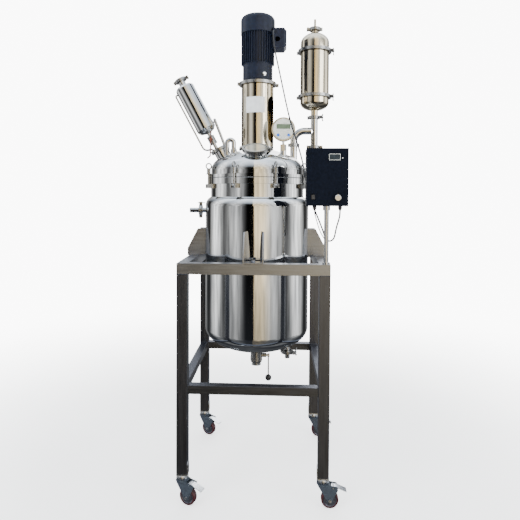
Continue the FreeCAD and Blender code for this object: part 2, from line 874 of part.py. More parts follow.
def lid():
    # Flange ring, dome and the welded-in necks, column seat and sockets
    outer = lid_radius
    inner = lid_radius - lid_wall
    base = lid_flange_top() - upper_flange_thickness
    top = lid_flange_top()
    tangent = lid_tangent_z()
    ring = upright(flange_radius, base, top).cut(upright(inner, base, top)).cut(flange_notches(base, top))
    edges = lines([(inner, tangent), (inner, top), (outer, top), (outer, tangent)])
    edges += lid_edges(column_radius, 0)
    edges += lines([(column_radius, lid_surface(column_radius)),
                    (column_radius, tangent + lid_height(column_radius, lid_wall))])
    edges += lid_edges(column_radius, lid_wall)
    dome = turned(edges)
    vapour_z = lid_surface(math.hypot(vapour_x, vapour_y))
    specs = [(port_neck_radius, port_wall, port_ferrule_radius, port_base(), tilted(-90, port_tilt), port_neck_height),
             (dose_neck_radius, port_wall, dose_ferrule_radius, dose_base(), tilted(180, dose_tilt),
              dose_neck_height),
             (vapour_tube_radius, vapour_wall, vapour_ferrule_radius, V(vapour_x, vapour_y, vapour_z), AXIS_Z,
              vapour_joint_z - vapour_z)]
    welded = []
    bores = []
    for radius, wall, ferrule, origin, direction, height in specs:
        body, bore = neck(radius, wall, ferrule, origin, direction, height)
        welded.append(body)
        bores.append(bore)
    eye = seal_radius - 6
    seat_foot = lid_surface(column_radius) - lid_wall
    welded.append(spin([(eye, seat_foot), (column_radius, seat_foot), (column_radius, column_base_z),
                        (eye, column_base_z)]))
    sockets = [(V(gauge_x, gauge_y, gauge_hex_bottom), gauge_hex_flats / 2 + 2, gauge_stem_radius)]
    for foot in return_feet():
        sockets.append((foot, return_tube_radius + 4, return_tube_radius - 2))
    for place, radius, hole in sockets:
        low = lid_surface(math.hypot(place.x, place.y) + radius) - lid_wall
        welded.append(upright(radius, low, place.z, place.x, place.y))
        bores.append(upright(hole, low - 40, place.z, place.x, place.y))
    shapes = [ring, dome.cut(welded)]
    for index, body in enumerate(welded):
        shapes.append(body.cut(welded[:index]) if index else body)
    return [shape.cut(bores) for shape in shapes]


def charging_cover():
    face = port_base() + tilted(-90, port_tilt) * port_neck_height
    step = port_ferrule_radius - cap_step
    rim = spin([(0, 0), (port_ferrule_radius, 0), (port_ferrule_radius, ferrule_thickness),
                (step, ferrule_thickness), (step - 2, port_cover_thickness), (0, port_cover_thickness)])
    return aim(rim, face, tilted(-90, port_tilt))


def clamp(ferrule_radius, origin, direction, hinge_angle, wing):
    # Two hinged half rings over a ferrule pair, a hinge pin, a swing screw and its nut
    half = clamp_height / 2
    outer = ferrule_radius + clamp_wall
    inner = ferrule_radius + seat_gap
    lip = ferrule_radius - clamp_lip
    grip = ferrule_thickness + seat_gap
    ring = spin([(lip, -half), (outer, -half), (outer, half), (lip, half), (lip + 1, grip), (inner, grip),
                 (inner, -grip), (lip + 1, -grip)])
    ear = clamp_height * 0.9
    ears = box(outer - 3, outer + ear, -clamp_slot / 2 - 7, clamp_slot / 2 + 7, -half, half)
    knuckle = upright(half, -half, half, -outer - 2)
    body = join([ring, ears.cut(upright(inner, -half, half)), knuckle.cut(upright(inner, -half, half))])
    slot = box(0, outer + ear + 1, -clamp_slot / 2, clamp_slot / 2, -half, half)
    split = box(-outer - half - 3, 0, -0.2, 0.2, -half, half)
    hinge = upright(3, -half - 2, half + 2, -outer - 2)
    screw_x = outer + ear * 0.55
    screw = rod(clamp_bolt_radius, V(screw_x, -24, 0), V(screw_x, 14, 0))
    head = rod(5.5, V(screw_x, -clamp_slot / 2 - 7 - 5, 0), V(screw_x, -clamp_slot / 2 - 7, 0))
    body = body.cut(slot).cut(split).cut(hinge).cut(screw)
    nut_y = clamp_slot / 2 + 7
    nut = rod(6.5, V(screw_x, nut_y, 0), V(screw_x, nut_y + 10, 0))
    if wing:
        for way in (-1, 1):
            blade = prism([(screw_x - 2, nut_y + 3, way * 4), (screw_x - 2, nut_y + 9, way * 4),
                           (screw_x - 2, nut_y + 24, way * 18), (screw_x - 2, nut_y + 12, way * 20)], V(4, 0, 0))
            nut = nut.fuse(blade)
    nut = nut.cut(screw)
    shapes = body.Solids + [hinge, screw.fuse(head).removeSplitter(), nut.removeSplitter()]
    placed = []
    for shape in shapes:
        placed.append(aim(around(shape, hinge_angle), origin, direction))
    return placed


def pipe_clamps():
    column_axis = AXIS_Z
    port_axis = tilted(-90, port_tilt)
    dose_axis = tilted(180, dose_tilt)
    shapes = []
    shapes += clamp(port_ferrule_radius, port_base() + port_axis * port_neck_height, port_axis, 172, False)
    shapes += clamp(dose_ferrule_radius, dose_base() + dose_axis * dose_neck_height, dose_axis, 60, False)
    shapes += clamp(column_ferrule_radius, V(0, 0, column_top_z), column_axis, 10, False)
    shapes += clamp(vapour_ferrule_radius, V(vapour_x, vapour_y, vapour_joint_z), AXIS_Z, 90, False)
    shapes += clamp(vapour_ferrule_radius, V(tee_x, vapour_y, tee_bottom), AXIS_Z, 0, False)
    shapes += clamp(vapour_ferrule_radius, V(tee_x, vapour_y, tee_top), AXIS_Z, -25, True)
    shapes += clamp(reflux_ferrule_radius, V(tee_x, vapour_y, reflux_low_joint), AXIS_Z, -15, True)
    shapes += clamp(reflux_ferrule_radius, V(tee_x, vapour_y, reflux_high_joint), AXIS_Z, -15, True)
    shapes += clamp(vapour_ferrule_radius, V(tee_x, vapour_y, reflux_cap_joint), AXIS_Z, 180, False)
    shapes += clamp(funnel_top_ferrule_radius, funnel_point(funnel_cap_at, 0), dose_axis, 0, False)
    shapes += clamp(jacket_ferrule_radius, V(-jacket_port_joint, 0, jacket_port_z), V(-1, 0, 0), 0, True)
    shapes += clamp(jacket_ferrule_radius, V(drain_port_x, drain_port_y, drain_joint_z), AXIS_Z, -30, True)
    return shapes


def agitator_column():
    tube = pipe(column_radius, column_wall, V(0, 0, column_base_z), V(0, 0, column_top_z))
    ring = pipe(column_ferrule_radius, column_ferrule_radius - column_radius,
                V(0, 0, column_top_z - ferrule_thickness), V(0, 0, column_top_z))
    half = window_width / 2
    window = box(20, column_radius + 20, -half, half, window_bottom + half, window_top - half)
    for z in (window_bottom + half, window_top - half):
        window = window.fuse(rod(half, V(20, 0, z), V(column_radius + 20, 0, z)))
    return [tube.cut(around(window, window_azimuth)), ring]


def shaft_seal():
    # Stuffing ring on the column seat, its bore runs on the shaft
    base = column_base_z
    body = spin([(shaft_radius + running_clearance, base), (seal_radius + 10, base), (seal_radius + 10, base + 10),
                 (seal_radius, base + 12), (seal_radius, seal_top - 14), (seal_radius - 8, seal_top),
                 (shaft_radius + running_clearance, seal_top)])
    return body


def agitator_shaft():
    shaft = upright(shaft_radius, shaft_bottom, shaft_top)
    coupling = upright(coupling_radius, coupling_bottom, coupling_top)
    coupling = coupling.cut(upright(shaft_radius, coupling_bottom, shaft_top))
    coupling = coupling.cut(upright(output_shaft_radius, shaft_top, coupling_top))
    groove_z = (coupling_bottom + coupling_top) / 2 + 4
    groove = upright(coupling_radius + 1, groove_z, groove_z + 4).cut(upright(coupling_radius - 5, groove_z, groove_z + 4))
    return [shaft, coupling.cut(groove)]


def impeller():
    shapes = []
    for level in impeller_heights:
        middle = level + impeller_hub_height / 2
        hub = upright(impeller_hub_radius, level, level + impeller_hub_height)
        half = impeller_blade_height / 2
        thick = impeller_blade_thickness / 2
        blade = box(impeller_hub_radius - 4, impeller_radius, -thick, thick, -half, half)
        blade.rotate(V(0, 0, 0), AXIS_X, impeller_blade_pitch)
        blade = moved(blade, 0, 0, middle)
        blades = [around(blade, 360 / impeller_blades * step) for step in range(impeller_blades)]
        whole = join([hub] + blades)
        shapes.append(whole.cut(upright(shaft_radius, level - 30, level + impeller_hub_height + 30)))
    return shapes


def spur(teeth, z0, height, phase):
    # Straight teeth with backlash, the first tooth at the phase angle
    pitch = gear_module * teeth / 2
    tip = pitch + gear_module
    root = pitch - 1.3 * gear_module
    step = 2 * math.pi / teeth
    points = []
    for tooth in range(teeth):
        centre = math.radians(phase) + tooth * step
        for radius, share in ((root, -0.33), (pitch, -0.225), (tip, -0.11), (tip, 0.11), (pitch, 0.225), (root, 0.33)):
            angle = centre + share * step
            points.append((radius * math.cos(angle), radius * math.sin(angle), z0))
    return prism(points, V(0, 0, height))


def gear_offset():
    return gear_module * (pinion_teeth + wheel_teeth) / 2


def output_gear():
    floor = column_top_z + gearbox_floor
    gear = spur(wheel_teeth, output_gear_z, gear_width, 0)
    shaft = upright(output_shaft_radius, shaft_top, output_gear_z + gear_width + 6)
    collar = upright(output_shaft_radius + 5, floor + 2, output_gear_z)
    return join([gear, shaft, collar])


def layshaft():
    half_pinion = half_turn / pinion_teeth
    half_wheel = half_turn / wheel_teeth
    pinion = spur(pinion_teeth, output_gear_z, gear_width, half_turn + half_pinion)
    wheel = spur(wheel_teeth, input_gear_z, gear_width, half_turn + half_wheel)
    low = column_top_z + gearbox_floor - 6
    shaft = upright(input_shaft_radius, low, input_gear_z + gear_width + 8)
    return moved(join([pinion, wheel, shaft]), gear_offset(), 0, 0)


def gearbox_housing():
    # Housing with its spigot ferrule, the shafts run in its floor and in a bearing bridge
    base = column_top_z
    floor = base + gearbox_floor
    bore = gearbox_radius - gearbox_wall
    body = upright(gearbox_radius, base, gearbox_top).cut(upright(bore, floor, gearbox_top))
    body = body.fuse(upright(column_ferrule_radius, base, base + ferrule_thickness))
    bridge_z = input_gear_z + gear_width + 2
    bridge = upright(bore, bridge_z, bridge_z + 8)
    body = body.fuse(bridge)
    offset = gear_offset()
    body = body.cut(upright(output_shaft_radius + running_clearance, base, floor))
    body = body.cut(upright(input_shaft_radius + running_clearance, floor - 6, gearbox_top, offset))
    body = body.cut(upright(input_shaft_radius + running_clearance, floor, gearbox_top))
    return body.removeSplitter()


def motor_centre_z():
    return (gearbox_top + motor_top) / 2


def motor_rotor():
    middle = motor_centre_z()
    shaft = upright(input_shaft_radius, input_gear_z, motor_top + 34)
    pinion = spur(pinion_teeth, input_gear_z, gear_width, 0)
    core = upright(rotor_radius, middle - rotor_height / 2, middle + rotor_height / 2)
    rotor = join([shaft, pinion, core])
    fan_z = motor_top + 12
    hub = upright(input_shaft_radius + 10, fan_z, fan_z + 22)
    disc = upright(fan_radius, fan_z, fan_z + 2)
    blade = box(input_shaft_radius + 8, fan_radius, -1, 1, fan_z, fan_z + 18)
    blades = [around(blade, 360 / fan_blades * step) for step in range(fan_blades)]
    fan = join([hub, disc] + blades).cut(upright(input_shaft_radius, fan_z, fan_z + 22))
    return [rotor, fan]


def motor_housing():
    barrel = motor_radius - fin_height
    low = gearbox_top
    body = upright(barrel, low, motor_top)
    fin = box(barrel - 2, motor_radius, -fin_thickness / 2, fin_thickness / 2, low + 4, motor_top - 2)
    fins = [around(fin, 360 / fin_count * step) for step in range(fin_count)]
    body = body.fuse(fins)
    body = body.cut(upright(stator_radius, low + motor_shield, motor_top - motor_shield))
    body = body.cut(upright(input_shaft_radius + running_clearance, low, motor_top))
    # Flat saddle under the terminal box
    flat = box(barrel, motor_radius + 2, -terminal_half_width, terminal_half_width, terminal_bottom, terminal_top)
    return body.cut(flat).removeSplitter()


def stator():
    middle = motor_centre_z()
    core = upright(stator_radius, middle - rotor_height / 2, middle + rotor_height / 2)
    core = core.cut(upright(rotor_radius + air_gap, middle - rotor_height / 2, middle + rotor_height / 2))
    winding_r = (stator_radius + rotor_radius) / 2
    low = middle - rotor_height / 2 - 14
    high = middle + rotor_height / 2
    shapes = [core]
    for z in (low, high):
        ring = upright(winding_r + 9, z, z + 14).cut(upright(winding_r - 9, z, z + 14))
        shapes.append(ring)
    return shapes


def fan_cowl():
    low = motor_top
    edge = cowl_edge_radius
    outer = cowl_radius
    inner = cowl_radius - cowl_wall
    top = cowl_top
    bend = edge * math.sqrt(0.5)
    edges = lines([(inner, top - edge), (inner, low - 10), (outer, low - 10), (outer, top - edge)])
    edges.append(arc((outer, top - edge), (outer - edge + bend, top - edge + bend), (outer - edge, top)))
    edges += lines([(outer - edge, top), (0, top), (0, top - cowl_wall), (outer - edge, top - cowl_wall)])
    small = edge - cowl_wall
    bend = small * math.sqrt(0.5)
    edges.append(arc((outer - edge, top - cowl_wall), (outer - edge + bend, top - edge + bend), (inner, top - edge)))
    shell = turned(edges)
    for ring in range(3):
        radius = 18 + ring * 14
        count = 8 + ring * 4
        for step in range(count):
            angle = math.radians(360 / count * step)
            shell = shell.cut(upright(4, top - cowl_wall - 1, top + 1, radius * math.cos(angle), radius * math.sin(angle)))
    box_gap = box(0, outer + 2, -terminal_half_width - 1, terminal_half_width + 1, low - 11, terminal_top + 1)
    spigot = upright(motor_radius, low - 11, low)
    return shell.cut(box_gap).cut(spigot)


def terminal_box():
    inner = motor_radius - fin_height
    half = terminal_half_width
    body = box(inner, terminal_split, -half, half, terminal_bottom, terminal_top)
    hollow = box(inner + terminal_wall, terminal_split, terminal_wall - half, half - terminal_wall,
                 terminal_bottom + terminal_wall, terminal_top - terminal_wall)
    barrel = upright(inner, terminal_bottom, terminal_top)
    body = body.cut(hollow).cut(barrel)
    x, z = terminal_exit
    gland = rod(gland_radius, V(x, -half - 16, z), V(x, -half, z))
    nose = rod(gland_radius - 3, V(x, -half - 22, z), V(x, -half - 16, z))
    gland = gland.fuse(nose)
    kx, kz = terminal_knockout
    body = body.cut(rod(terminal_knockout_radius, V(kx, -half, kz), V(kx, terminal_wall - half, kz)))
    cut = terminal_chamfer
    cover = prism([(terminal_split, -half, terminal_bottom), (terminal_split, half, terminal_bottom),
                   (terminal_split, half, terminal_top), (terminal_split, -half, terminal_top)],
                  V(terminal_outer - terminal_split, 0, 0))
    corners = [edge for edge in cover.Edges if abs(edge.CenterOfMass.x - terminal_outer) < 0.01]
    cover = cover.makeChamfer(cut, corners)
    pocket = box(terminal_split, terminal_outer - cut, terminal_wall - half, half - terminal_wall,
                 terminal_bottom + terminal_wall, terminal_top - terminal_wall)
    return [body, cover.cut(pocket), gland.removeSplitter()]


def funnel_point(along, across, depth=0.0):
    # Point on the funnel's own axes: along it, across it in XZ, and in Y
    axis = tilted(180, dose_tilt)
    side = V(axis.z, 0, -axis.x)
    base = dose_base() + axis * (dose_neck_height + dose_cap_thickness) + side * funnel_shift
    return base + axis * along + side * across + V(0, depth, 0)


def dosing_funnel():
    axis = tilted(180, dose_tilt)
    origin = funnel_point(0, 0)
    r = funnel_radius
    w = funnel_wall
    low = funnel_bottom
    high = funnel_top
    stem = funnel_stem_radius
    tap_top = tap_at + tap_length / 2
    neck_r = funnel_neck_radius
    lip = funnel_cap_at
    body = spin([(stem - w, tap_top), (stem, tap_top), (stem, low - 18), (r * 0.75, low - 8), (r, low + 8),
                 (r, high - 12), (r * 0.85, high - 2), (neck_r, high + 6), (neck_r, lip - ferrule_thickness),
                 (funnel_top_ferrule_radius, lip - ferrule_thickness), (funnel_top_ferrule_radius, lip),
                 (neck_r - w, lip), (neck_r - w, high + 4), (r * 0.85 - w, high - 5), (r - w, high - 13),
                 (r - w, low + 9), (r * 0.75 - w, low - 5), (stem - w, low - 15)])
    top_step = funnel_top_ferrule_radius - cap_step
    cap = spin([(0, lip), (funnel_top_ferrule_radius, lip), (funnel_top_ferrule_radius, lip + ferrule_thickness),
                (top_step, lip + ferrule_thickness), (top_step, lip + 8), (0, lip + 10)])
    # Cap of the dosing port, the lower stem stands on it
    cap_base = dose_base() + axis * dose_neck_height
    rim = upright(dose_ferrule_radius, 0, ferrule_thickness)
    plate = rim.fuse(upright(dose_ferrule_radius - cap_step, 0, dose_cap_thickness)).removeSplitter()
    plate = aim(plate, cap_base, axis)
    tap_low = tap_at - tap_length / 2
    lower_stem = pipe(stem, w, funnel_point(0, 0), funnel_point(tap_low, 0))
    bore = rod(stem - w, funnel_point(-dose_cap_thickness, 0), funnel_point(0, 0))
    plate = plate.cut(bore)
    tube = side_tube()
    hose = vent_hose().cut(plate)
    bend = return_bend()
    shapes = [aim(body, origin, axis), aim(cap, origin, axis), plate.fuse(lower_stem).removeSplitter()]
    return shapes + [tube, hose, bend]


def side_tube():
    # Equalising tube down the left side, from the funnel's shoulder to the port cap
    reach = -side_tube_offset
    wall_at = -funnel_radius
    points = [funnel_point(funnel_top - 24, wall_at), funnel_point(funnel_top - 24, reach),
              funnel_point(22, reach), funnel_point(12, -side_tube_foot), funnel_point(0, -side_tube_foot)]
    return tube_along([(p.x, p.y, p.z) for p in points], side_tube_bends, side_tube_radius, 1.0)


def vent_hose():
    # Ribbed hose up the right side of the funnel, straight from the port cap to a stub on the body
    foot = funnel_point(0, vent_hose_foot)
    top = funnel_point(vent_hose_top, vent_hose_offset)
    way = top - foot
    length = way.Length
    crest = vent_hose_crest
    valley = vent_hose_valley
    bore = vent_hose_bore
    step = vent_hose_pitch / 4
    height = length - crest - vent_hose_ribs * vent_hose_pitch
    points = [(bore, 0), (crest, 0), (crest, height)]
    for rib in range(vent_hose_ribs):
        points += [(valley, height + step), (valley, height + 2 * step), (crest, height + 3 * step),
                   (crest, height + 4 * step)]
        height += vent_hose_pitch
    points += [(crest - 1, length - 4), (crest - 4, length - 1), (0, length), (0, length - 6), (bore, length - 6)]
    hollow = aim(upright(bore, 0, length - 6), foot, way)
    stub_at = vent_hose_top - 16
    stub = rod(5, funnel_point(stub_at, funnel_radius), funnel_point(stub_at, vent_hose_offset)).cut(hollow)
    return aim(spin(points), foot, way).fuse(stub).removeSplitter()


def return_feet():
    # Where the two legs of the return bend stand on the lid's sockets
    feet = []
    for way in (-1, 1):
        x = return_x + way * return_bend_radius
        feet.append(V(x, return_y, lid_surface(math.hypot(x, return_y)) + return_socket_height))
    return feet


def return_bend():
    left, right = return_feet()
    crown = return_top_z - return_tube_radius
    points = [(left.x, left.y, left.z), (left.x, left.y, crown), (right.x, right.y, crown),
              (right.x, right.y, right.z)]
    return tube_along(points, return_bend_radius - 0.01, return_tube_radius, 2.0)


def funnel_valve():
    axis = tilted(180, dose_tilt)
    half = tap_length / 2
    ball = tap_ball_radius + running_clearance
    body = upright(tap_radius, -half, half)
    body = body.cut(upright(tap_bore_radius, -half, half)).cut(Part.makeSphere(ball))
    body = aim(body, funnel_point(tap_at, 0), axis)
    centre = funnel_point(tap_at, 0)
    boss = rod(tap_stem_radius + 5, centre + V(0, -tap_stem_reach + 10, 0), centre)
    hollow = rod(tap_stem_radius + running_clearance, centre + V(0, -tap_stem_reach, 0), centre)
    inside = Part.makeSphere(ball, centre)
    body = body.fuse(boss.cut(inside).cut(aim(upright(tap_bore_radius, -half, half), centre, axis)))
    return body.cut(hollow).removeSplitter()


def funnel_handle():
    axis = tilted(180, dose_tilt)
    centre = funnel_point(tap_at, 0)
    reach = tap_stem_reach
    ball = Part.makeSphere(tap_ball_radius, centre)
    ball = ball.cut(rod(tap_bore_radius, centre - axis * 20, centre + axis * 20))
    stem = rod(tap_stem_radius, centre + V(0, -reach, 0), centre + V(0, -tap_bore_radius - 2, 0))
    front = centre + V(0, -reach, 0)
    hub = rod(tap_stem_radius + 4, front + V(0, -6, 0), front + V(0, 4, 0))
    mid = front + V(0, -1, 0)
    lean = V(-0.05, 0, -1)
    end = mid + lean * tap_lever_down
    bar = rod(tap_lever_radius, mid + V(0, 0, tap_lever_up), mid).fuse(rod(tap_lever_radius, mid, end))
    hook = rod(tap_lever_radius, end, end + V(-14, 0, -12))
    knuckle = Part.makeSphere(tap_lever_radius, end)
    return join([ball, stem, hub, bar, knuckle, hook])


def temperature_gauge():
    front = gauge_y - gauge_depth / 2
    back = gauge_y + gauge_depth / 2
    centre = V(gauge_x, 0, gauge_z)
    case = rod(gauge_radius, centre + V(0, front + 3, 0), centre + V(0, back, 0))
    bezel = rod(gauge_radius - 1, centre + V(0, front, 0), centre + V(0, front + 3, 0))
    case = case.fuse(bezel)
    hollow = rod(gauge_radius - gauge_wall, centre + V(0, front + 4, 0), centre + V(0, back - gauge_wall, 0))
    case = case.cut(hollow)
    face_y = front + 2
    face = rod(gauge_lens_radius, centre + V(0, front, 0), centre + V(0, front + 4, 0))
    case = case.cut(face)
    panel = rod(gauge_lens_radius, centre + V(0, face_y, 0), centre + V(0, front + 4, 0))
    for way in (-1, 1):
        x = gauge_x + way * gauge_button_spread
        z = gauge_z - gauge_button_drop
        hole = rod(gauge_button_radius + seat_gap, V(x, front - 1, z), V(x, front + 5, z))
        panel = panel.cut(hole)
    stem = rod(gauge_stem_radius, V(gauge_x, gauge_y, gauge_hex_top), V(gauge_x, gauge_y, gauge_z - gauge_radius + 2))
    case = case.fuse(stem.cut(rod(gauge_radius - gauge_wall, centre + V(0, front, 0), centre + V(0, back, 0))))
    nut = moved(hexagon(gauge_hex_flats, gauge_hex_bottom, gauge_hex_top), gauge_x, gauge_y, 0)
    probe = upright(probe_radius, probe_bottom, gauge_hex_bottom, gauge_x, gauge_y)
    return [case.removeSplitter(), panel, nut.fuse(probe).removeSplitter()]


def gauge_button(way):
    x = gauge_x + way * gauge_button_spread
    z = gauge_z - gauge_button_drop
    front = gauge_y - gauge_depth / 2
    return rod(gauge_button_radius, V(x, front + 2 - gauge_button_stand, z), V(x, front + 9, z))


def pipework():
    # Vapour elbow, tee with its bottom cap, and the nozzle and hose tail of each jacket port
    x = vapour_x
    y = vapour_y
    r = vapour_tube_radius
    w = vapour_wall
    branch_z = vapour_joint_z + 19 + vapour_bend_radius
    elbow = tube_along([(x, y, vapour_joint_z), (x, y, branch_z), (tee_x - r + 3, y, branch_z)],
                       vapour_bend_radius, r, w)
    rim = upright(vapour_ferrule_radius, vapour_joint_z, vapour_joint_z + ferrule_thickness, x, y)
    elbow = elbow.fuse(rim.cut(upright(r - w, vapour_joint_z, vapour_joint_z + ferrule_thickness, x, y)))
    run = pipe(r, w, V(tee_x, y, tee_bottom), V(tee_x, y, tee_top))
    for z in (tee_bottom, tee_top - ferrule_thickness):
        ring = upright(vapour_ferrule_radius, z, z + ferrule_thickness, tee_x, y)
        run = run.fuse(ring.cut(upright(r - w, z, z + ferrule_thickness, tee_x, y)))
    run = run.cut(rod(r - w, V(tee_x - r - 5, y, branch_z), V(tee_x, y, branch_z)))
    elbow = elbow.cut(upright(r, tee_bottom, tee_top, tee_x, y))
    step = vapour_ferrule_radius - cap_step
    blank = spin([(0, -7), (step, -7), (step, -ferrule_thickness), (vapour_ferrule_radius, -ferrule_thickness),
                  (vapour_ferrule_radius, 0), (0, 0)])
    blank = moved(blank, tee_x, y, tee_bottom)
    tails = []
    reaches = (jacket_port_end - jacket_port_joint, drain_joint_z - drain_end_z)
    for (begin, start), reach in zip(jacket_ports(), reaches):
        way = start - begin
        way.normalize()
        end = start + way * reach
        nozzle = rod(jacket_port_radius, begin, start)
        nozzle = nozzle.fuse(rod(jacket_ferrule_radius, start - way * ferrule_thickness, start))
        bore = rod(jacket_port_radius - jacket_nozzle_wall, begin, start)
        tails.append(nozzle.cut(bore).removeSplitter())
        tail = rod(jacket_port_radius, start, end)
        tail = tail.fuse(rod(jacket_ferrule_radius, start, start + way * ferrule_thickness))
        tails.append(tail.cut(rod(jacket_port_radius - jacket_port_wall, start, end)).removeSplitter())
    return [elbow.removeSplitter(), run.removeSplitter(), blank] + tails


def bowl(sign, joint, crown, neck_end, neck_rim):
    # Dished end of the reflux column from its big ferrule to its neck ferrule
    r = reflux_radius
    w = reflux_wall
    big = reflux_ferrule_radius
    neck_r = vapour_tube_radius
    depth = abs(crown - joint) * 0.55
    tangent = crown - sign * depth
    small = vapour_ferrule_radius
    edges = lines([(r - w, tangent), (r - w, joint), (big, joint), (big, joint + sign * ferrule_thickness),
                   (r, joint + sign * ferrule_thickness), (r, tangent)])
    edges.append(dish_edge(r, depth, tangent, neck_r, sign))
    outer_z = tangent + sign * dish_height(r, depth, neck_r)
    inner_z = tangent + sign * dish_height(r - w, depth - w, neck_r - w)
    edges += lines([(neck_r, outer_z), (neck_r, neck_rim), (small, neck_rim), (small, neck_end),
                    (neck_r - w, neck_end), (neck_r - w, inner_z)])
    edges.append(dish_edge(r - w, depth - w, tangent, neck_r - w, sign))
    return moved(turned(edges), tee_x, vapour_y, 0)


def reflux_column():
    low = bowl(-1, reflux_low_joint, reflux_bottom, tee_top, tee_top + ferrule_thickness)
    high = bowl(1, reflux_high_joint, reflux_crown, reflux_cap_joint, reflux_cap_joint - ferrule_thickness)
    r = reflux_radius
    w = reflux_wall
    big = reflux_ferrule_radius
    z0 = reflux_low_joint
    z1 = reflux_high_joint
    shell = spin([(r - w, z0), (big, z0), (big, z0 + ferrule_thickness), (r, z0 + ferrule_thickness),
                  (r, z1 - ferrule_thickness), (big, z1 - ferrule_thickness), (big, z1), (r - w, z1)])
    shell = moved(shell, tee_x, vapour_y, 0)
    rim = reflux_cap_joint
    small = vapour_ferrule_radius
    step = small - cap_step
    cap = spin([(vent_radius - 1, rim), (small, rim), (small, rim + ferrule_thickness),
                (step, rim + ferrule_thickness), (step, rim + 9), (vent_radius, rim + 9), (vent_radius, vent_top), (vent_radius - 1, vent_top)])
    return [low, shell, high, moved(cap, tee_x, vapour_y, 0)]


def control_box():
    # Case with its front plate, display window and the two cable glands under it
    case = box(box_left, box_right, box_front + 3, box_back, box_bottom, box_top)
    uprights = [edge for edge in case.Edges
                if abs(edge.CenterOfMass.z - (box_bottom + box_top) / 2) < 1 and edge.CenterOfMass.y > post_y]
    case = case.makeFillet(box_corner, uprights)
    hollow = box(box_left + box_wall, box_right - box_wall, box_front + 3, box_back - box_wall,
                 box_bottom + box_wall, box_top - box_wall)
    case = case.cut(hollow)
    plate = box(box_left, box_right, box_front, box_front + 3, box_bottom, box_top)
    rim = 4.0
    frame = box(display_x[0] - rim, display_x[1] + rim, box_front - 2, box_front, display_z[0] - rim, display_z[1] + rim)
    window = box(display_x[0], display_x[1], box_front - 1, box_front + 3, display_z[0], display_z[1])
    plate = plate.fuse(frame).cut(box(display_x[0], display_x[1], box_front - 3, box_front + 4, display_z[0],
                                      display_z[1]))
    plate = plate.cut(rod(4 + running_clearance, V(knob_x, box_front, knob_z), V(knob_x, box_front + 3, knob_z)))
    half_w = switch_width / 2 + switch_rim
    half_h = switch_height / 2 + switch_rim
    slot_w = switch_width / 2 + seat_gap
    slot_h = switch_height / 2 + switch_swing_gap
    plate = plate.fuse(box(switch_x - half_w, switch_x + half_w, box_front - 2, box_front, switch_z - half_h,
                           switch_z + half_h))
    plate = plate.cut(box(switch_x - slot_w, switch_x + slot_w, box_front - 3, box_front + 4, switch_z - slot_h,
                          switch_z + slot_h))
    pivot_y = box_front + switch_pivot_depth
    pin_end = switch_width / 2 + switch_pin_reach + seat_gap
    plate = plate.cut(rod(switch_pin_radius + running_clearance, V(switch_x - pin_end, pivot_y, switch_z),
                          V(switch_x + pin_end, pivot_y, switch_z)))
    glands = []
    for x in (probe_gland_x, motor_gland_x):
        gland = upright(gland_radius, box_bottom - gland_height * 0.7, box_bottom, x, post_y)
        nose = upright(gland_radius - 3, box_bottom - gland_height, box_bottom - gland_height * 0.7, x, post_y)
        glands.append(gland.fuse(nose).removeSplitter())
    return [case, plate.removeSplitter(), window] + glands


def speed_knob():
    knob = spin([(0, 0), (knob_radius, 0), (knob_radius, 3), (knob_radius - 2, knob_height - 2),
                 (knob_radius - 4, knob_height), (0, knob_height)])
    spindle = upright(4, -12, 0.5)
    mark = box(-1, 1, 4, knob_radius, knob_height - 1, knob_height + 0.8)
    whole = join([knob, spindle, mark])
    return aim(whole, V(knob_x, box_front - seat_gap, knob_z), V(0, -1, 0))


def power_switch():
    half_h = switch_height / 2
    half_w = switch_width / 2
    pivot_y = box_front + switch_pivot_depth
    rise = 3.5
    profile = [(switch_x - half_w, pivot_y + 1, switch_z - half_h + 0.6),
               (switch_x - half_w, pivot_y - rise - 1.6, switch_z - half_h + 0.6),
               (switch_x - half_w, pivot_y - rise, switch_z),
               (switch_x - half_w, pivot_y - rise + 0.3, switch_z + half_h - 0.6),
               (switch_x - half_w, pivot_y + 1, switch_z + half_h - 0.6)]
    reach = half_w + switch_pin_reach
    pin = rod(switch_pin_radius, V(switch_x - reach, pivot_y, switch_z), V(switch_x + reach, pivot_y, switch_z))
    return prism(profile, V(switch_width, 0, 0)).fuse(pin).removeSplitter()


def control_post():
    base = frame_top
    tube = pipe(post_radius, post_wall, V(post_x, post_y, base), V(post_x, post_y, box_bottom))
    collar = upright(post_collar_radius, box_bottom - post_collar_height, box_bottom, post_x, post_y)
    foot = upright(post_foot_radius, base, base + post_foot_height, post_x, post_y)
    bore = upright(post_radius - post_wall, base, box_bottom, post_x, post_y)
    post = join([tube, collar, foot]).cut(bore)
    end = V(*probe_cable_route[-1])
    entry = rod(probe_cable_radius + 1.5, V(end.x, post_y, end.z), end)
    grommet = rod(probe_cable_radius + 3.5, V(end.x, end.y - 3, end.z), end)
    post = post.cut(entry).cut(grommet)
    core = upright(post_radius - post_wall, base, box_bottom, post_x, post_y)
    grommet = grommet.fuse(entry).cut(core)
    return [post, grommet.removeSplitter()]


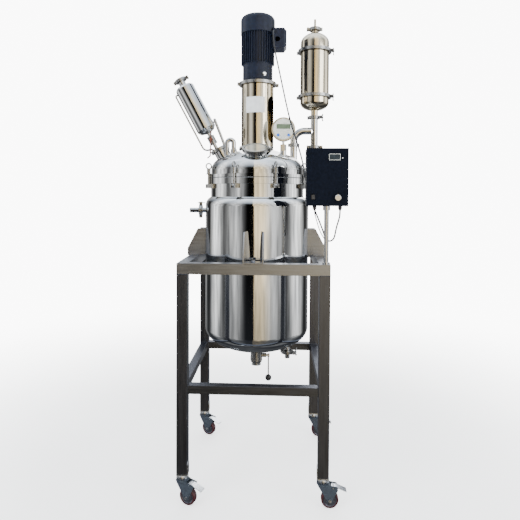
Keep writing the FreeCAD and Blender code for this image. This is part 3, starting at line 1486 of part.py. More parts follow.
def support_lugs():
    # Two gussets and a foot plate at each side, bolted down to the top rail
    half = lug_spread / 2
    base = frame_top
    foot_top = base + lug_plate
    skin = upright(jacket_radius, base - 1, lug_top + 1)
    shapes = []
    for quarter in range(4):
        side = (frame_width if quarter % 2 == 0 else frame_depth) / 2
        outer = side + lug_overhang
        plates = []
        for y in (-half, half - lug_plate):
            gusset = prism([(jacket_radius - 20, y, foot_top), (jacket_radius - 20, y, lug_top),
                            (lug_top_reach, y, lug_top), (outer, y, lug_shoulder_z), (outer, y, foot_top)],
                           V(0, lug_plate, 0))
            plates.append(gusset.cut(skin))
        rail_x = side - leg_size / 2
        foot = box(rail_x - leg_size / 2 - 8, outer, -half, half, base, foot_top)
        shank = upright(lug_bolt_radius, base - 16, foot_top, rail_x)
        plates.append(foot.cut(skin).cut(shank))
        head = moved(hexagon(lug_bolt_radius * 3, foot_top, foot_top + 8), rail_x, 0, 0)
        nut = moved(hexagon(lug_bolt_radius * 3, base - leg_wall - 10, base - leg_wall), rail_x, 0, 0).cut(shank)
        bolt = shank.fuse(head).removeSplitter()
        for shape in plates + [bolt, nut]:
            shapes.append(around(shape, 90 * quarter))
    return shapes


def discharge_valve():
    top = outlet_joint_z
    flange = spin([(valve_bore_radius, top), (outlet_flange_radius, top), (outlet_flange_radius, top - 8),
                   (valve_radius, top - 8), (valve_radius, valve_bottom), (valve_bore_radius, valve_bottom)])
    centre = V(0, 0, valve_centre_z)
    stem_end = V(handle_x - 10, 0, valve_centre_z)
    boss = rod(valve_stem_radius + 6, centre, stem_end)
    body = flange.fuse(boss.cut(upright(valve_bore_radius, valve_bottom, top)))
    body = body.cut(Part.makeSphere(valve_ball_radius + running_clearance, centre))
    body = body.cut(rod(valve_stem_radius + running_clearance, centre, stem_end))
    nut_top = valve_bottom + union_height
    nut = upright(union_radius, valve_bottom, nut_top)
    for step in range(union_ribs):
        angle = math.radians(360 / union_ribs * step)
        x = (union_radius + 1.6) * math.cos(angle)
        y = (union_radius + 1.6) * math.sin(angle)
        nut = nut.cut(upright(3, valve_bottom, nut_top, x, y))
    nut = nut.cut(upright(valve_radius, valve_bottom, nut_top))
    nut = nut.cut(boss)
    tail = spin([(tail_bore_radius, valve_bottom), (valve_radius, valve_bottom), (valve_radius - 2, valve_bottom - 8),
                 (tail_radius, valve_bottom - 10), (tail_radius, tail_bottom + ferrule_thickness),
                 (tail_ferrule_radius, tail_bottom + ferrule_thickness), (tail_ferrule_radius, tail_bottom),
                 (tail_bore_radius, tail_bottom)])
    return [body.removeSplitter(), nut, tail]


def discharge_handle():
    centre = V(0, 0, valve_centre_z)
    ball = Part.makeSphere(valve_ball_radius, centre)
    ball = ball.cut(upright(valve_bore_radius, valve_centre_z - 30, valve_centre_z + 30))
    stem = rod(valve_stem_radius, V(valve_bore_radius + 2, 0, valve_centre_z), V(handle_x + 6, 0, valve_centre_z))
    hub = rod(handle_hub_radius, V(handle_x - 6, 0, valve_centre_z), V(handle_x + 6, 0, valve_centre_z))
    end = V(handle_x, 0, valve_centre_z - handle_length)
    bar = rod(handle_rod_radius, V(handle_x, 0, valve_centre_z), end)
    knob = Part.makeSphere(handle_knob_radius, end)
    return [join([ball, stem, hub, bar.cut(knob)]), knob]


def collect():
    parts = {}
    parts["frame_legs"] = legs()
    parts["top_rails"] = top_rails()
    parts["lower_rails"] = lower_rails()
    places = caster_places()
    brackets = []
    for corner, (x, y) in places.items():
        brackets.append(moved(caster_bracket(x), x, y, 0))
        pieces = {"caster_fork_": caster_fork(), "caster_wheel_": caster_wheel(), "brake_pedal_": [brake_pedal()]}
        for stem, solids in pieces.items():
            parts[stem + corner] = [moved(around(solid, caster_yaw[corner]), x, y, 0) for solid in solids]
    parts["caster_brackets"] = brackets
    parts["inner_vessel"] = inner_vessel()
    parts["jacket"] = jacket()
    parts["flange_gasket"] = [flange_gasket()]
    parts["bolt_lugs"] = bolt_lugs()
    for index in range(bolt_count):
        parts["swing_bolt_" + str(index + 1)] = swing_bolt(index)
    parts["lid"] = lid()
    parts["charging_cover"] = [charging_cover()]
    parts["pipe_clamps"] = pipe_clamps()
    parts["agitator_column"] = agitator_column()
    parts["shaft_seal"] = [shaft_seal()]
    parts["agitator_shaft"] = agitator_shaft()
    parts["impeller"] = impeller()
    parts["output_gear"] = [output_gear()]
    parts["layshaft"] = [layshaft()]
    parts["gearbox_housing"] = [gearbox_housing()]
    parts["motor_rotor"] = motor_rotor()
    parts["motor_housing"] = [motor_housing()]
    parts["stator"] = stator()
    parts["fan_cowl"] = [fan_cowl()]
    parts["terminal_box"] = terminal_box()
    parts["dosing_funnel"] = dosing_funnel()
    parts["funnel_valve"] = [funnel_valve()]
    parts["funnel_handle"] = [funnel_handle()]
    parts["temperature_gauge"] = temperature_gauge()
    parts["gauge_button_left"] = [gauge_button(-1)]
    parts["gauge_button_right"] = [gauge_button(1)]
    parts["pipework"] = pipework()
    parts["reflux_column"] = reflux_column()
    parts["control_box"] = control_box()
    parts["speed_knob"] = [speed_knob()]
    parts["power_switch"] = [power_switch()]
    parts["control_post"] = control_post()
    parts["motor_cable"] = [cord(motor_cable_route, motor_cable_radius, "motor_cable")]
    parts["probe_cable"] = [cord(probe_cable_route, probe_cable_radius, "probe_cable")]
    parts["support_lugs"] = support_lugs()
    parts["discharge_valve"] = discharge_valve()
    parts["discharge_handle"] = discharge_handle()
    return parts


os.makedirs("parts", exist_ok=True)
model = collect()
for name, solids in model.items():
    pieces = []
    for shape in solids:
        pieces += shape.Solids
    whole = pieces[0] if len(pieces) == 1 else Part.makeCompound(pieces)
    whole.exportStep("parts/" + name + ".step")
print(len(model), "nodes,", sum(len(solids) for solids in model.values()), "pieces")
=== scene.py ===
import bpy
import bmesh
import json
import math
from mathutils import Matrix, Vector


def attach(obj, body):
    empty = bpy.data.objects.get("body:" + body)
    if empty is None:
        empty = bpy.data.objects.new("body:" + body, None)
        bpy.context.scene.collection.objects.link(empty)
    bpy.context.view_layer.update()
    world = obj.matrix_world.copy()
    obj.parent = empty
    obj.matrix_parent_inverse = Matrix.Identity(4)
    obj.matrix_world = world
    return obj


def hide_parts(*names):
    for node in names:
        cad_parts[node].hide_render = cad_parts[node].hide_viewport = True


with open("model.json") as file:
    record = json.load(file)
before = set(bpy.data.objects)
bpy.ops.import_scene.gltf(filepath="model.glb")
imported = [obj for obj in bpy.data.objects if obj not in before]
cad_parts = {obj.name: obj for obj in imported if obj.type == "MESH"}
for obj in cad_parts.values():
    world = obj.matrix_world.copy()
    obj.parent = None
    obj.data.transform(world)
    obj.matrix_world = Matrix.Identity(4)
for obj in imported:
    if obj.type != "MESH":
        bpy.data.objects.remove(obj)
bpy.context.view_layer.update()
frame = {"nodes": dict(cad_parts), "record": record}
nodes = frame["nodes"]

# The camera stands where the photo was taken from, at chest height in front of the machine
camera = {
    "place": (0.1204, -2.4732, 1.425),
    "yaw": -0.0424,
    "pitch": -0.0232,
    "roll": 0.0052,
    "lens": 32.65,
    "sensor": 36.0,
    "shiftY": -0.101,
    "farClip": 60,
}

# Routes in millimetres, radius and length in metres
cables = {
    "motorCable": {
        "node": "motor_cable", "radius": 0.0038, "length": 1.287, "material": "cableSheath",
        "route": [
            (82, -72, 2258), (82, -84, 2258), (82, -98, 2251), (82, -108, 2232), (83, -112, 2204),
            (87, -113, 2166), (99, -113, 2110), (117, -114, 2030), (135, -118, 1945), (153, -125, 1862),
            (172, -134, 1785), (197, -150, 1706), (218, -173, 1635), (233, -203, 1565), (243, -232, 1492),
            (257, -250, 1428), (280, -265, 1368), (302, -280, 1314), (318, -288, 1272), (328, -294, 1239),
            (336.5, -301, 1226), (349, -310, 1222), (361, -319, 1229), (368, -324, 1243),
            (372, -325, 1264), (377, -325, 1289), (385, -325, 1315), (392, -325, 1341), (392, -325, 1364)],
    },
    "probeCable": {
        "node": "probe_cable", "radius": 0.0024, "length": 0.162, "material": "cableSheath",
        "route": [
            (277, -325, 1364), (277, -325, 1352), (281, -324, 1337), (287, -321, 1318), (293, -317, 1298),
            (301, -312, 1275), (311, -306, 1253), (321, -301, 1238), (328, -300, 1230), (331, -307, 1226),
            (331, -313.5, 1226)],
    },
}

# What each surface is: its two shades, gloss, grain and relief; grains are in millimetres, relief in metres
recipes = {
    # 304 sheet, mechanically polished to a mirror, faintly wavy from the polishing wheel
    "mirrorSteel": {"dark": "c4c6c8", "light": "dddedd", "metallic": 1.0, "rough": (0.05, 0.09), "grain": 60,
                    "stretch": (1, 1, 0.25), "bump": 0.0004, "bumpGrain": 90},
    # Polished tube under a warm light
    "warmSteel": {"dark": "cbbfa5", "light": "e2d9c4", "metallic": 1.0, "rough": (0.09, 0.15), "grain": 30,
                  "stretch": (1, 1, 0.2), "bump": 0.0003, "bumpGrain": 40},
    # Bright drawn tube and machined ferrules
    "brightSteel": {"dark": "b4b6b8", "light": "d4d5d4", "metallic": 1.0, "rough": (0.12, 0.2), "grain": 14,
                    "stretch": (1, 1, 0.3), "bump": 0.0002, "bumpGrain": 3},
    # Investment cast clamps and eye nuts, tumbled and left satin
    "castSteel": {"dark": "8e9092", "light": "b9bab9", "metallic": 1.0, "rough": (0.22, 0.36), "grain": 5,
                  "stretch": (1, 1, 1), "bump": 0.0004, "bumpGrain": 2.5},
    # Square tube ground with a belt, streaks run along it; the three below are one steel, a lit copy and two
    # darker copies that are painted shade
    # Painted shade: the legs' and weld beads' copy, darkened for the dark surroundings the legs mirror
    "shadedGroundTube": {"dark": "585b65", "light": "646770", "metallic": 1.0, "rough": (0.32, 0.42), "grain": 9,
                   "stretch": (1, 1, 0.05), "bump": 0.0003, "bumpGrain": 1.6},
    # The lit copy, for the top rails and support lugs
    "groundRail": {"dark": "8f939b", "light": "9da0a7", "metallic": 1.0, "rough": (0.3, 0.42), "grain": 9,
                   "stretch": (0.08, 0.08, 1), "bump": 0.0003, "bumpGrain": 1.6},
    # Painted shade: the lower rails' copy, darkened like the legs
    "shadedGroundRail": {"dark": "555860", "light": "62656e", "metallic": 1.0, "rough": (0.3, 0.42), "grain": 9,
                 "stretch": (0.08, 0.08, 1), "bump": 0.0003, "bumpGrain": 1.6},
    # Pressed plate with bright zinc
    "zincPlate": {"dark": "b6babf", "light": "dfe2e5", "metallic": 1.0, "rough": (0.22, 0.36), "grain": 7,
                  "stretch": (1, 1, 1), "bump": 0.0001, "bumpGrain": 2},
    "forkPaint": {"dark": "2b323b", "light": "3a424c", "metallic": 0.35, "rough": (0.32, 0.45), "grain": 8,
                  "stretch": (1, 1, 1), "bump": 0.0003, "bumpGrain": 1.2},
    # Pressed wheel hub, darkened
    "hubShell": {"dark": "3a3b43", "light": "50515a", "metallic": 0.7, "rough": (0.26, 0.38), "grain": 7,
                 "stretch": (1, 1, 1), "bump": 0.0002, "bumpGrain": 2},
    "urethane": {"dark": "26050d", "light": "3a0914", "metallic": 0.0, "rough": (0.3, 0.5), "grain": 10,
                 "stretch": (1, 1, 1), "bump": 0.0004, "bumpGrain": 1.6},
    # Dark machine enamel, and the box's powder coat
    "motorPaint": {"dark": "060a13", "light": "0b111f", "metallic": 0.0, "specular": 0.25, "rough": (0.34, 0.46),
                   "grain": 12, "stretch": (1, 1, 1), "bump": 0.0003, "bumpGrain": 1.4},
    "boxPaint": {"dark": "02040a", "light": "040812", "metallic": 0.0, "specular": 0.06, "rough": (0.42, 0.56),
                 "grain": 9, "stretch": (1, 1, 1), "bump": 0.0005, "bumpGrain": 0.9},
    "blackPlastic": {"dark": "0b0b0c", "light": "18181a", "metallic": 0.0, "rough": (0.35, 0.5), "grain": 6,
                     "stretch": (1, 1, 1), "bump": 0.0003, "bumpGrain": 0.8},
    "cableSheath": {"dark": "0c0d0f", "light": "1a1b1e", "metallic": 0.0, "rough": (0.4, 0.55), "grain": 8,
                    "stretch": (1, 1, 0.4), "bump": 0.0002, "bumpGrain": 1},
    "dialEnamel": {"dark": "989b97", "light": "a8aba6", "metallic": 0.0, "rough": (0.3, 0.42), "grain": 20,
                   "stretch": (1, 1, 1), "bump": 0.0001, "bumpGrain": 3},
    "displayGlass": {"dark": "3c483a", "light": "485446", "metallic": 0.0, "specular": 0.2, "rough": (0.12, 0.2),
                     "grain": 16, "stretch": (1, 1, 1), "bump": 0.0001, "bumpGrain": 5},
    "displayDark": {"dark": "12171a", "light": "1c2226", "metallic": 0.0, "specular": 0.1, "rough": (0.1, 0.18),
                    "grain": 16, "stretch": (1, 1, 1), "bump": 0.0001, "bumpGrain": 5},
    "blueButton": {"dark": "123f8c", "light": "2460b4", "metallic": 0.0, "rough": (0.25, 0.35), "grain": 4,
                   "stretch": (1, 1, 1), "bump": 0.0001, "bumpGrain": 1},
    "labelFilm": {"dark": "999da0", "light": "a8acae", "metallic": 0.0, "rough": (0.35, 0.5), "grain": 20,
                  "stretch": (1, 1, 1), "bump": 0.0001, "bumpGrain": 4},
    "silicone": {"dark": "3d3e40", "light": "4c4d50", "metallic": 0.0, "rough": (0.45, 0.6), "grain": 12,
                 "stretch": (1, 1, 1), "bump": 0.0003, "bumpGrain": 2},
    "brownRod": {"dark": "3a2019", "light": "5e3627", "metallic": 0.3, "rough": (0.35, 0.5), "grain": 6,
                 "stretch": (1, 1, 0.3), "bump": 0.0002, "bumpGrain": 1},
    "copperCoil": {"dark": "6b3517", "light": "9a552a", "metallic": 0.7, "rough": (0.35, 0.5), "grain": 3,
                   "stretch": (1, 1, 0.2), "bump": 0.0004, "bumpGrain": 1.2},
    "gearSteel": {"dark": "6b6d70", "light": "8f9193", "metallic": 1.0, "rough": (0.25, 0.38), "grain": 6,
                  "stretch": (1, 1, 1), "bump": 0.0002, "bumpGrain": 1.2},
    # Plain pale studio floor
    "studioFloor": {"dark": "e6e6e4", "light": "efefed", "metallic": 0.0, "rough": (0.55, 0.7), "grain": 700,
                    "stretch": (1, 1, 1), "bump": 0.0001, "bumpGrain": 40},
}


# The span of the noise that shades and gloss follow, its detail, and the relief's strength
noise = {"low": 0.3, "high": 0.7, "broadDetail": 4.0, "fineDetail": 3.0, "relief": 0.5}
# Turns in degrees: smooth up to the first, softened from the second, flat below the third
turns = {"smooth": 32.0, "soften": 40.0, "flat": 0.5}
bevelSteps = 2
# Reflection of a surface whose recipe names none
usualSpecular = 0.5
# Corners of neighbouring triangles nearer than this are one, in metres
weldGap = 0.00001


def linearColour(code):
    # Hex sRGB to the linear colour that the shaders take
    channels = []
    for start in (0, 2, 4):
        value = int(code[start:start + 2], 16) / 255
        channels.append(value / 12.92 if value <= 0.04045 else ((value + 0.055) / 1.055) ** 2.4)
    return tuple(channels) + (1.0,)


def millimetres(*values):
    return Vector([value / 1000 for value in values])


def addNode(tree, kind, settings=None, **links):
    node = tree.nodes.new(kind)
    for key, value in (settings or {}).items():
        if key in node.inputs:
            node.inputs[key].default_value = value
        else:
            setattr(node, key, value)
    for key, source in links.items():
        tree.links.new(source, node.inputs[key.replace("_", " ")])
    return node


def addNoise(tree, scale, detail, source):
    return addNode(tree, "ShaderNodeTexNoise", {"Scale": scale, "Detail": detail}, Vector=source)


def makeMaterial(name, recipe):
    material = bpy.data.materials.new(name)
    material.use_nodes = True
    tree = material.node_tree
    tree.nodes.clear()
    place = addNode(tree, "ShaderNodeTexCoord")
    mapping = addNode(tree, "ShaderNodeMapping", {"Scale": recipe["stretch"]}, Vector=place.outputs["Object"])
    # Noise scale is one over the grain's size in metres
    broad = addNoise(tree, 1000 / recipe["grain"], noise["broadDetail"], mapping.outputs["Vector"])
    fine = addNoise(tree, 1000 / recipe["bumpGrain"], noise["fineDetail"], mapping.outputs["Vector"])
    shades = addNode(tree, "ShaderNodeValToRGB", None, Fac=broad.outputs["Fac"])
    for stop, position, colour in zip(shades.color_ramp.elements, (noise["low"], noise["high"]),
                                      (recipe["dark"], recipe["light"])):
        stop.position = position
        stop.color = linearColour(colour)
    low, high = recipe["rough"]
    gloss = addNode(tree, "ShaderNodeMapRange",
                    {"From Min": noise["low"], "From Max": noise["high"], "To Min": low, "To Max": high},
                    Value=broad.outputs["Fac"])
    relief = addNode(tree, "ShaderNodeBump", {"Strength": noise["relief"], "Distance": recipe["bump"]},
                     Height=fine.outputs["Fac"])
    shader = addNode(tree, "ShaderNodeBsdfPrincipled",
                     {"Metallic": recipe["metallic"], "Specular IOR Level": recipe.get("specular", usualSpecular)},
                     Base_Color=shades.outputs["Color"], Roughness=gloss.outputs["Result"],
                     Normal=relief.outputs["Normal"])
    addNode(tree, "ShaderNodeOutputMaterial", None, Surface=shader.outputs["BSDF"])
    return material


def finishMesh(bm, name, materialNames):
    # Smooth faces with sharp edges kept where the surface turns
    bm.normal_update()
    for face in bm.faces:
        face.smooth = True
    limit = math.radians(turns["smooth"])
    for edge in bm.edges:
        edge.smooth = not (len(edge.link_faces) == 2 and edge.calc_face_angle(0) > limit)
    mesh = bpy.data.meshes.new(name)
    bm.to_mesh(mesh)
    bm.free()
    piece = bpy.data.objects.new(name, mesh)
    bpy.context.scene.collection.objects.link(piece)
    for item in materialNames:
        mesh.materials.append(materials[item])
    return piece


def softenEdges(piece, width):
    modifier = piece.modifiers.new("softEdges", "BEVEL")
    modifier.width = width
    modifier.segments = bevelSteps
    modifier.limit_method = "ANGLE"
    modifier.angle_limit = math.radians(turns["soften"])
    modifier.harden_normals = True
    modifier.use_clamp_overlap = True


def bodyOf(node):
    for body, members in frame["record"]["behaviour"]["bodies"].items():
        if node in members:
            return body
    return None


def solidsOf(mesh):
    # The triangles of each closed solid follow each other in a CAD node's mesh
    corners = [tuple(round(value / weldGap) for value in vert.co) for vert in mesh.vertices]
    groups = []
    group = []
    openEdges = set()
    for face in mesh.polygons:
        group.append(face.index)
        ring = [corners[index] for index in face.vertices]
        for one, two in zip(ring, ring[1:] + ring[:1]):
            if one != two:
                openEdges ^= {(min(one, two), max(one, two))}
        if not openEdges:
            groups.append(group)
            group = []
    if group:
        groups.append(group)
    return groups


def spanOf(group):
    points = [vert.co for face in group for vert in face.verts]
    low = Vector([min(point[axis] for point in points) for axis in range(3)])
    high = Vector([max(point[axis] for point in points) for axis in range(3)])
    return (low + high) / 2, high - low


def dress(node, materialNames, bevel=0.0, choose=None):
    # A merged copy of a CAD node with soft edges; choose gives each solid's material from its middle and size
    bm = bmesh.new()
    bm.from_mesh(nodes[node].data)
    bm.faces.ensure_lookup_table()
    groups = [[bm.faces[index] for index in group] for group in solidsOf(nodes[node].data)]
    for group in groups:
        if choose:
            index = choose(*spanOf(group))
            for face in group:
                face.material_index = index
        bmesh.ops.remove_doubles(bm, verts=list({vert for face in group for vert in face.verts}), dist=weldGap)
    bmesh.ops.dissolve_limit(bm, angle_limit=math.radians(turns["flat"]), verts=bm.verts, edges=bm.edges)
    piece = finishMesh(bm, node + "Finish", materialNames)
    if bevel:
        softenEdges(piece, bevel)
    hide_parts(node)
    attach(piece, bodyOf(node))


def fit(piece, body, bevel=0.0):
    if bevel:
        softenEdges(piece, bevel)
    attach(piece, body)


materials = {}
for recipeName, recipe in recipes.items():
    materials[recipeName] = makeMaterial(recipeName, recipe)
print("stage materials", len(materials))


def placeCamera():
    yaw = camera["yaw"]
    pitch = camera["pitch"]
    forward = Vector((math.sin(yaw) * math.cos(pitch), math.cos(yaw) * math.cos(pitch), math.sin(pitch)))
    side = forward.cross(Vector((0, 0, 1))).normalized()
    rise = side.cross(forward)
    right = side * math.cos(camera["roll"]) + rise * math.sin(camera["roll"])
    top = rise * math.cos(camera["roll"]) - side * math.sin(camera["roll"])
    turn = Matrix((right, top, -forward)).transposed().to_4x4()
    data = bpy.data.cameras.new("mainCamera")
    data.lens = camera["lens"]
    data.sensor_width = camera["sensor"]
    data.shift_y = camera["shiftY"]
    data.clip_end = camera["farClip"]
    eye = bpy.data.objects.new("mainCamera", data)
    eye.matrix_world = Matrix.Translation(Vector(camera["place"])) @ turn
    bpy.context.scene.collection.objects.link(eye)
    bpy.context.scene.camera = eye


def layCables():
    # How finely the curve is cut round and along
    sheath = {"round": 4, "order": 3, "along": 8}
    for name, cable in cables.items():
        curve = bpy.data.curves.new(name, "CURVE")
        curve.dimensions = "3D"
        curve.bevel_depth = cable["radius"]
        curve.bevel_resolution = sheath["round"]
        curve.use_fill_caps = True
        spline = curve.splines.new("NURBS")
        spline.points.add(len(cable["route"]) - 1)
        for point, place in zip(spline.points, cable["route"]):
            point.co = (place[0] / 1000, place[1] / 1000, place[2] / 1000, 1)
        spline.order_u = sheath["order"]
        spline.use_endpoint_u = True
        spline.resolution_u = sheath["along"]
        piece = bpy.data.objects.new(name, curve)
        bpy.context.scene.collection.objects.link(piece)
        curve.materials.append(materials[cable["material"]])
        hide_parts(cable["node"])
        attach(piece, "frame")


placeCamera()
layCables()
print("stage camera and cables")

# Soft studio: what the polished steel mirrors comes from the world's cards, seen round the machine
studio = {
    "floorSize": 14.0,
    "floorCells": 2,
    "domeRadius": 13.0,
    "domeCells": (48, 24),
    # Place, side of the square and power; the key light's square would show in the mirrors
    "lamps": {"keyLight": ((-2.6, -3.2, 3.6), 2.2, 150, False), "fillLight": ((3.4, -2.2, 2.4), 2.0, 70, True),
              "rimLight": ((0.5, 3.6, 3.4), 2.6, 90, True)},
    "aim": (0, 0, 1.2),
    "worldPower": 3.4,
    "floorGlow": 1.6,
    "floorFade": (0.9, 4.0),
    "backdrop": "fdfdfd",
    "backdropPower": 10.0,
    # Degrees that bring the start of the cards straight behind the camera
    "cardStart": -90,
    # Plain cards all round the machine, in even steps of grey and one warm card
    "tones": {"white": "f0f0f0", "pale": "c0c0c0", "grey": "909090", "dim": "606060", "dark": "303030",
              "black": "101010", "warm": "e0d0b0"},
    # Evenly spaced over the circle, from straight behind the camera on
    "cards": ["warm", "pale", "dim", "white", "dark", "grey", "grey", "dark", "white", "dim", "pale", "black"],
    # The cards' edges wander a little
    "wobble": {"scale": 2.2, "detail": 3.0, "reach": (0.16, 0.16, 0.0)},
    # Dapples as from leaves and windows break the cards up
    "dapple": {"scale": 9.0, "detail": 6.0, "roughness": 0.62, "from": (0.38, 0.62), "to": (0.55, 1.15)},
    # Heights over which sky and ground take over, and how far
    "skyRise": (0.25, 1.0),
    "skyShare": 0.9,
    "groundFall": (-0.1, -0.5),
    "groundShare": 0.88,
    "contrast": 1.3,
    "ground": "34363a",
    "sky": "e3ebf5",
}


def areaLight(name, place, size, power, mirrored):
    data = bpy.data.lights.new(name, "AREA")
    data.shape = "RECTANGLE"
    data.size = size
    data.size_y = size
    data.energy = power
    lamp = bpy.data.objects.new(name, data)
    lamp.location = place
    lamp.rotation_euler = (Vector(studio["aim"]) - Vector(place)).to_track_quat("-Z", "Y").to_euler()
    lamp.visible_glossy = mirrored
    bpy.context.scene.collection.objects.link(lamp)


def addRange(tree, span, reach, value, settings=None):
    # Maps a value from one span to another
    limits = {"From Min": span[0], "From Max": span[1], "To Min": reach[0], "To Max": reach[1]}
    return addNode(tree, "ShaderNodeMapRange", {**(settings or {}), **limits}, Value=value).outputs["Result"]


def addMix(tree, share, first, second):
    # The share picks the second colour, a hex colour
    mixed = addNode(tree, "ShaderNodeMix", {"data_type": "RGBA"})
    tree.links.new(share, mixed.inputs["Factor"])
    tree.links.new(first, mixed.inputs[6])
    mixed.inputs[7].default_value = linearColour(second)
    return mixed.outputs[2]


def addGlow(tree):
    return addNode(tree, "ShaderNodeEmission", {"Color": linearColour(studio["backdrop"]),
                                                "Strength": studio["backdropPower"]})


def fadeFloor():
    # Pale paper that glows a little, and turns into the backdrop's white away from the machine
    tree = materials["studioFloor"].node_tree
    shader = tree.nodes["Principled BSDF"]
    shader.inputs["Emission Color"].default_value = linearColour(studio["backdrop"])
    shader.inputs["Emission Strength"].default_value = studio["floorGlow"]
    place = addNode(tree, "ShaderNodeTexCoord")
    far = addNode(tree, "ShaderNodeVectorMath", {"operation": "LENGTH"})
    tree.links.new(place.outputs["Object"], far.inputs[0])
    fade = addRange(tree, studio["floorFade"], (0, 1), far.outputs["Value"], {"interpolation_type": "SMOOTHSTEP"})
    glow = addGlow(tree)
    mixed = addNode(tree, "ShaderNodeMixShader")
    tree.links.new(fade, mixed.inputs[0])
    tree.links.new(shader.outputs["BSDF"], mixed.inputs[1])
    tree.links.new(glow.outputs["Emission"], mixed.inputs[2])
    tree.links.new(mixed.outputs["Shader"], tree.nodes["Material Output"].inputs["Surface"])


def buildFloor():
    bm = bmesh.new()
    bmesh.ops.create_grid(bm, x_segments=studio["floorCells"], y_segments=studio["floorCells"],
                          size=studio["floorSize"])
    floor = finishMesh(bm, "studioFloor", ["studioFloor"])
    # The floor and the backdrop stay out of the mirrors, which show the cards instead
    floor.visible_glossy = False
    fadeFloor()


def buildBackdrop():
    backdrop = bpy.data.materials.new("backdropPaper")
    backdrop.use_nodes = True
    tree = backdrop.node_tree
    tree.nodes.clear()
    glow = addGlow(tree)
    addNode(tree, "ShaderNodeOutputMaterial", None, Surface=glow.outputs["Emission"])
    materials["backdropPaper"] = backdrop
    bm = bmesh.new()
    around, upward = studio["domeCells"]
    bmesh.ops.create_uvsphere(bm, u_segments=around, v_segments=upward, radius=studio["domeRadius"])
    bmesh.ops.reverse_faces(bm, faces=bm.faces)
    dome = finishMesh(bm, "studioBackdrop", ["backdropPaper"])
    dome.visible_diffuse = False
    dome.visible_transmission = False
    dome.visible_shadow = False
    dome.visible_glossy = False


def addCards(tree, angle):
    # One ring of tones round the machine
    shades = addNode(tree, "ShaderNodeValToRGB", None, Fac=angle)
    ramp = shades.color_ramp
    ramp.interpolation = "EASE"
    while len(ramp.elements) > 1:
        ramp.elements.remove(ramp.elements[0])
    for index, tone in enumerate(studio["cards"]):
        place = (index + 0.5) / len(studio["cards"])
        stop = ramp.elements[0] if index == 0 else ramp.elements.new(place)
        stop.position = place
        stop.color = linearColour(studio["tones"][tone])
    return shades.outputs["Color"]


def addTurn(tree, direction):
    # Share of the circle that a direction looks to, with a slow wander
    wobble = studio["wobble"]
    wander = addNoise(tree, wobble["scale"], wobble["detail"], direction)
    shift = addNode(tree, "ShaderNodeVectorMath", {"operation": "MULTIPLY_ADD"})
    tree.links.new(wander.outputs["Color"], shift.inputs[0])
    shift.inputs[1].default_value = wobble["reach"]
    tree.links.new(direction, shift.inputs[2])
    turned = addNode(tree, "ShaderNodeMapping", {"Rotation": (0, 0, math.radians(studio["cardStart"]))},
                     Vector=shift.outputs["Vector"])
    angle = addNode(tree, "ShaderNodeTexGradient", {"gradient_type": "RADIAL"}, Vector=turned.outputs["Vector"])
    return angle.outputs["Fac"]


def buildWorld():
    world = bpy.data.worlds.new("studioWorld")
    bpy.context.scene.world = world
    world.use_nodes = True
    tree = world.node_tree
    tree.nodes.clear()
    direction = addNode(tree, "ShaderNodeTexCoord").outputs["Generated"]
    height = addNode(tree, "ShaderNodeSeparateXYZ", None, Vector=direction).outputs["Z"]
    angle = addTurn(tree, direction)
    dapple = studio["dapple"]
    leaves = addNoise(tree, dapple["scale"], dapple["detail"], direction)
    leaves.inputs["Roughness"].default_value = dapple["roughness"]
    lit = addNode(tree, "ShaderNodeVectorMath", {"operation": "SCALE"})
    tree.links.new(addCards(tree, angle), lit.inputs[0])
    tree.links.new(addRange(tree, dapple["from"], dapple["to"], leaves.outputs["Fac"]), lit.inputs["Scale"])
    upper = addRange(tree, studio["skyRise"], (0, studio["skyShare"]), height)
    sky = addMix(tree, upper, lit.outputs["Vector"], studio["sky"])
    lower = addRange(tree, studio["groundFall"], (0, studio["groundShare"]), height)
    ground = addMix(tree, lower, sky, studio["ground"])
    deep = addNode(tree, "ShaderNodeGamma", {"Gamma": studio["contrast"]}, Color=ground)
    shine = addNode(tree, "ShaderNodeBackground", {"Strength": studio["worldPower"]}, Color=deep.outputs["Color"])
    addNode(tree, "ShaderNodeOutputWorld", None, Surface=shine.outputs["Background"])


for lampName, (lampPlace, lampSize, lampPower, mirrored) in studio["lamps"].items():
    areaLight(lampName, lampPlace, lampSize, lampPower, mirrored)
buildFloor()
buildBackdrop()
buildWorld()
print("stage studio")

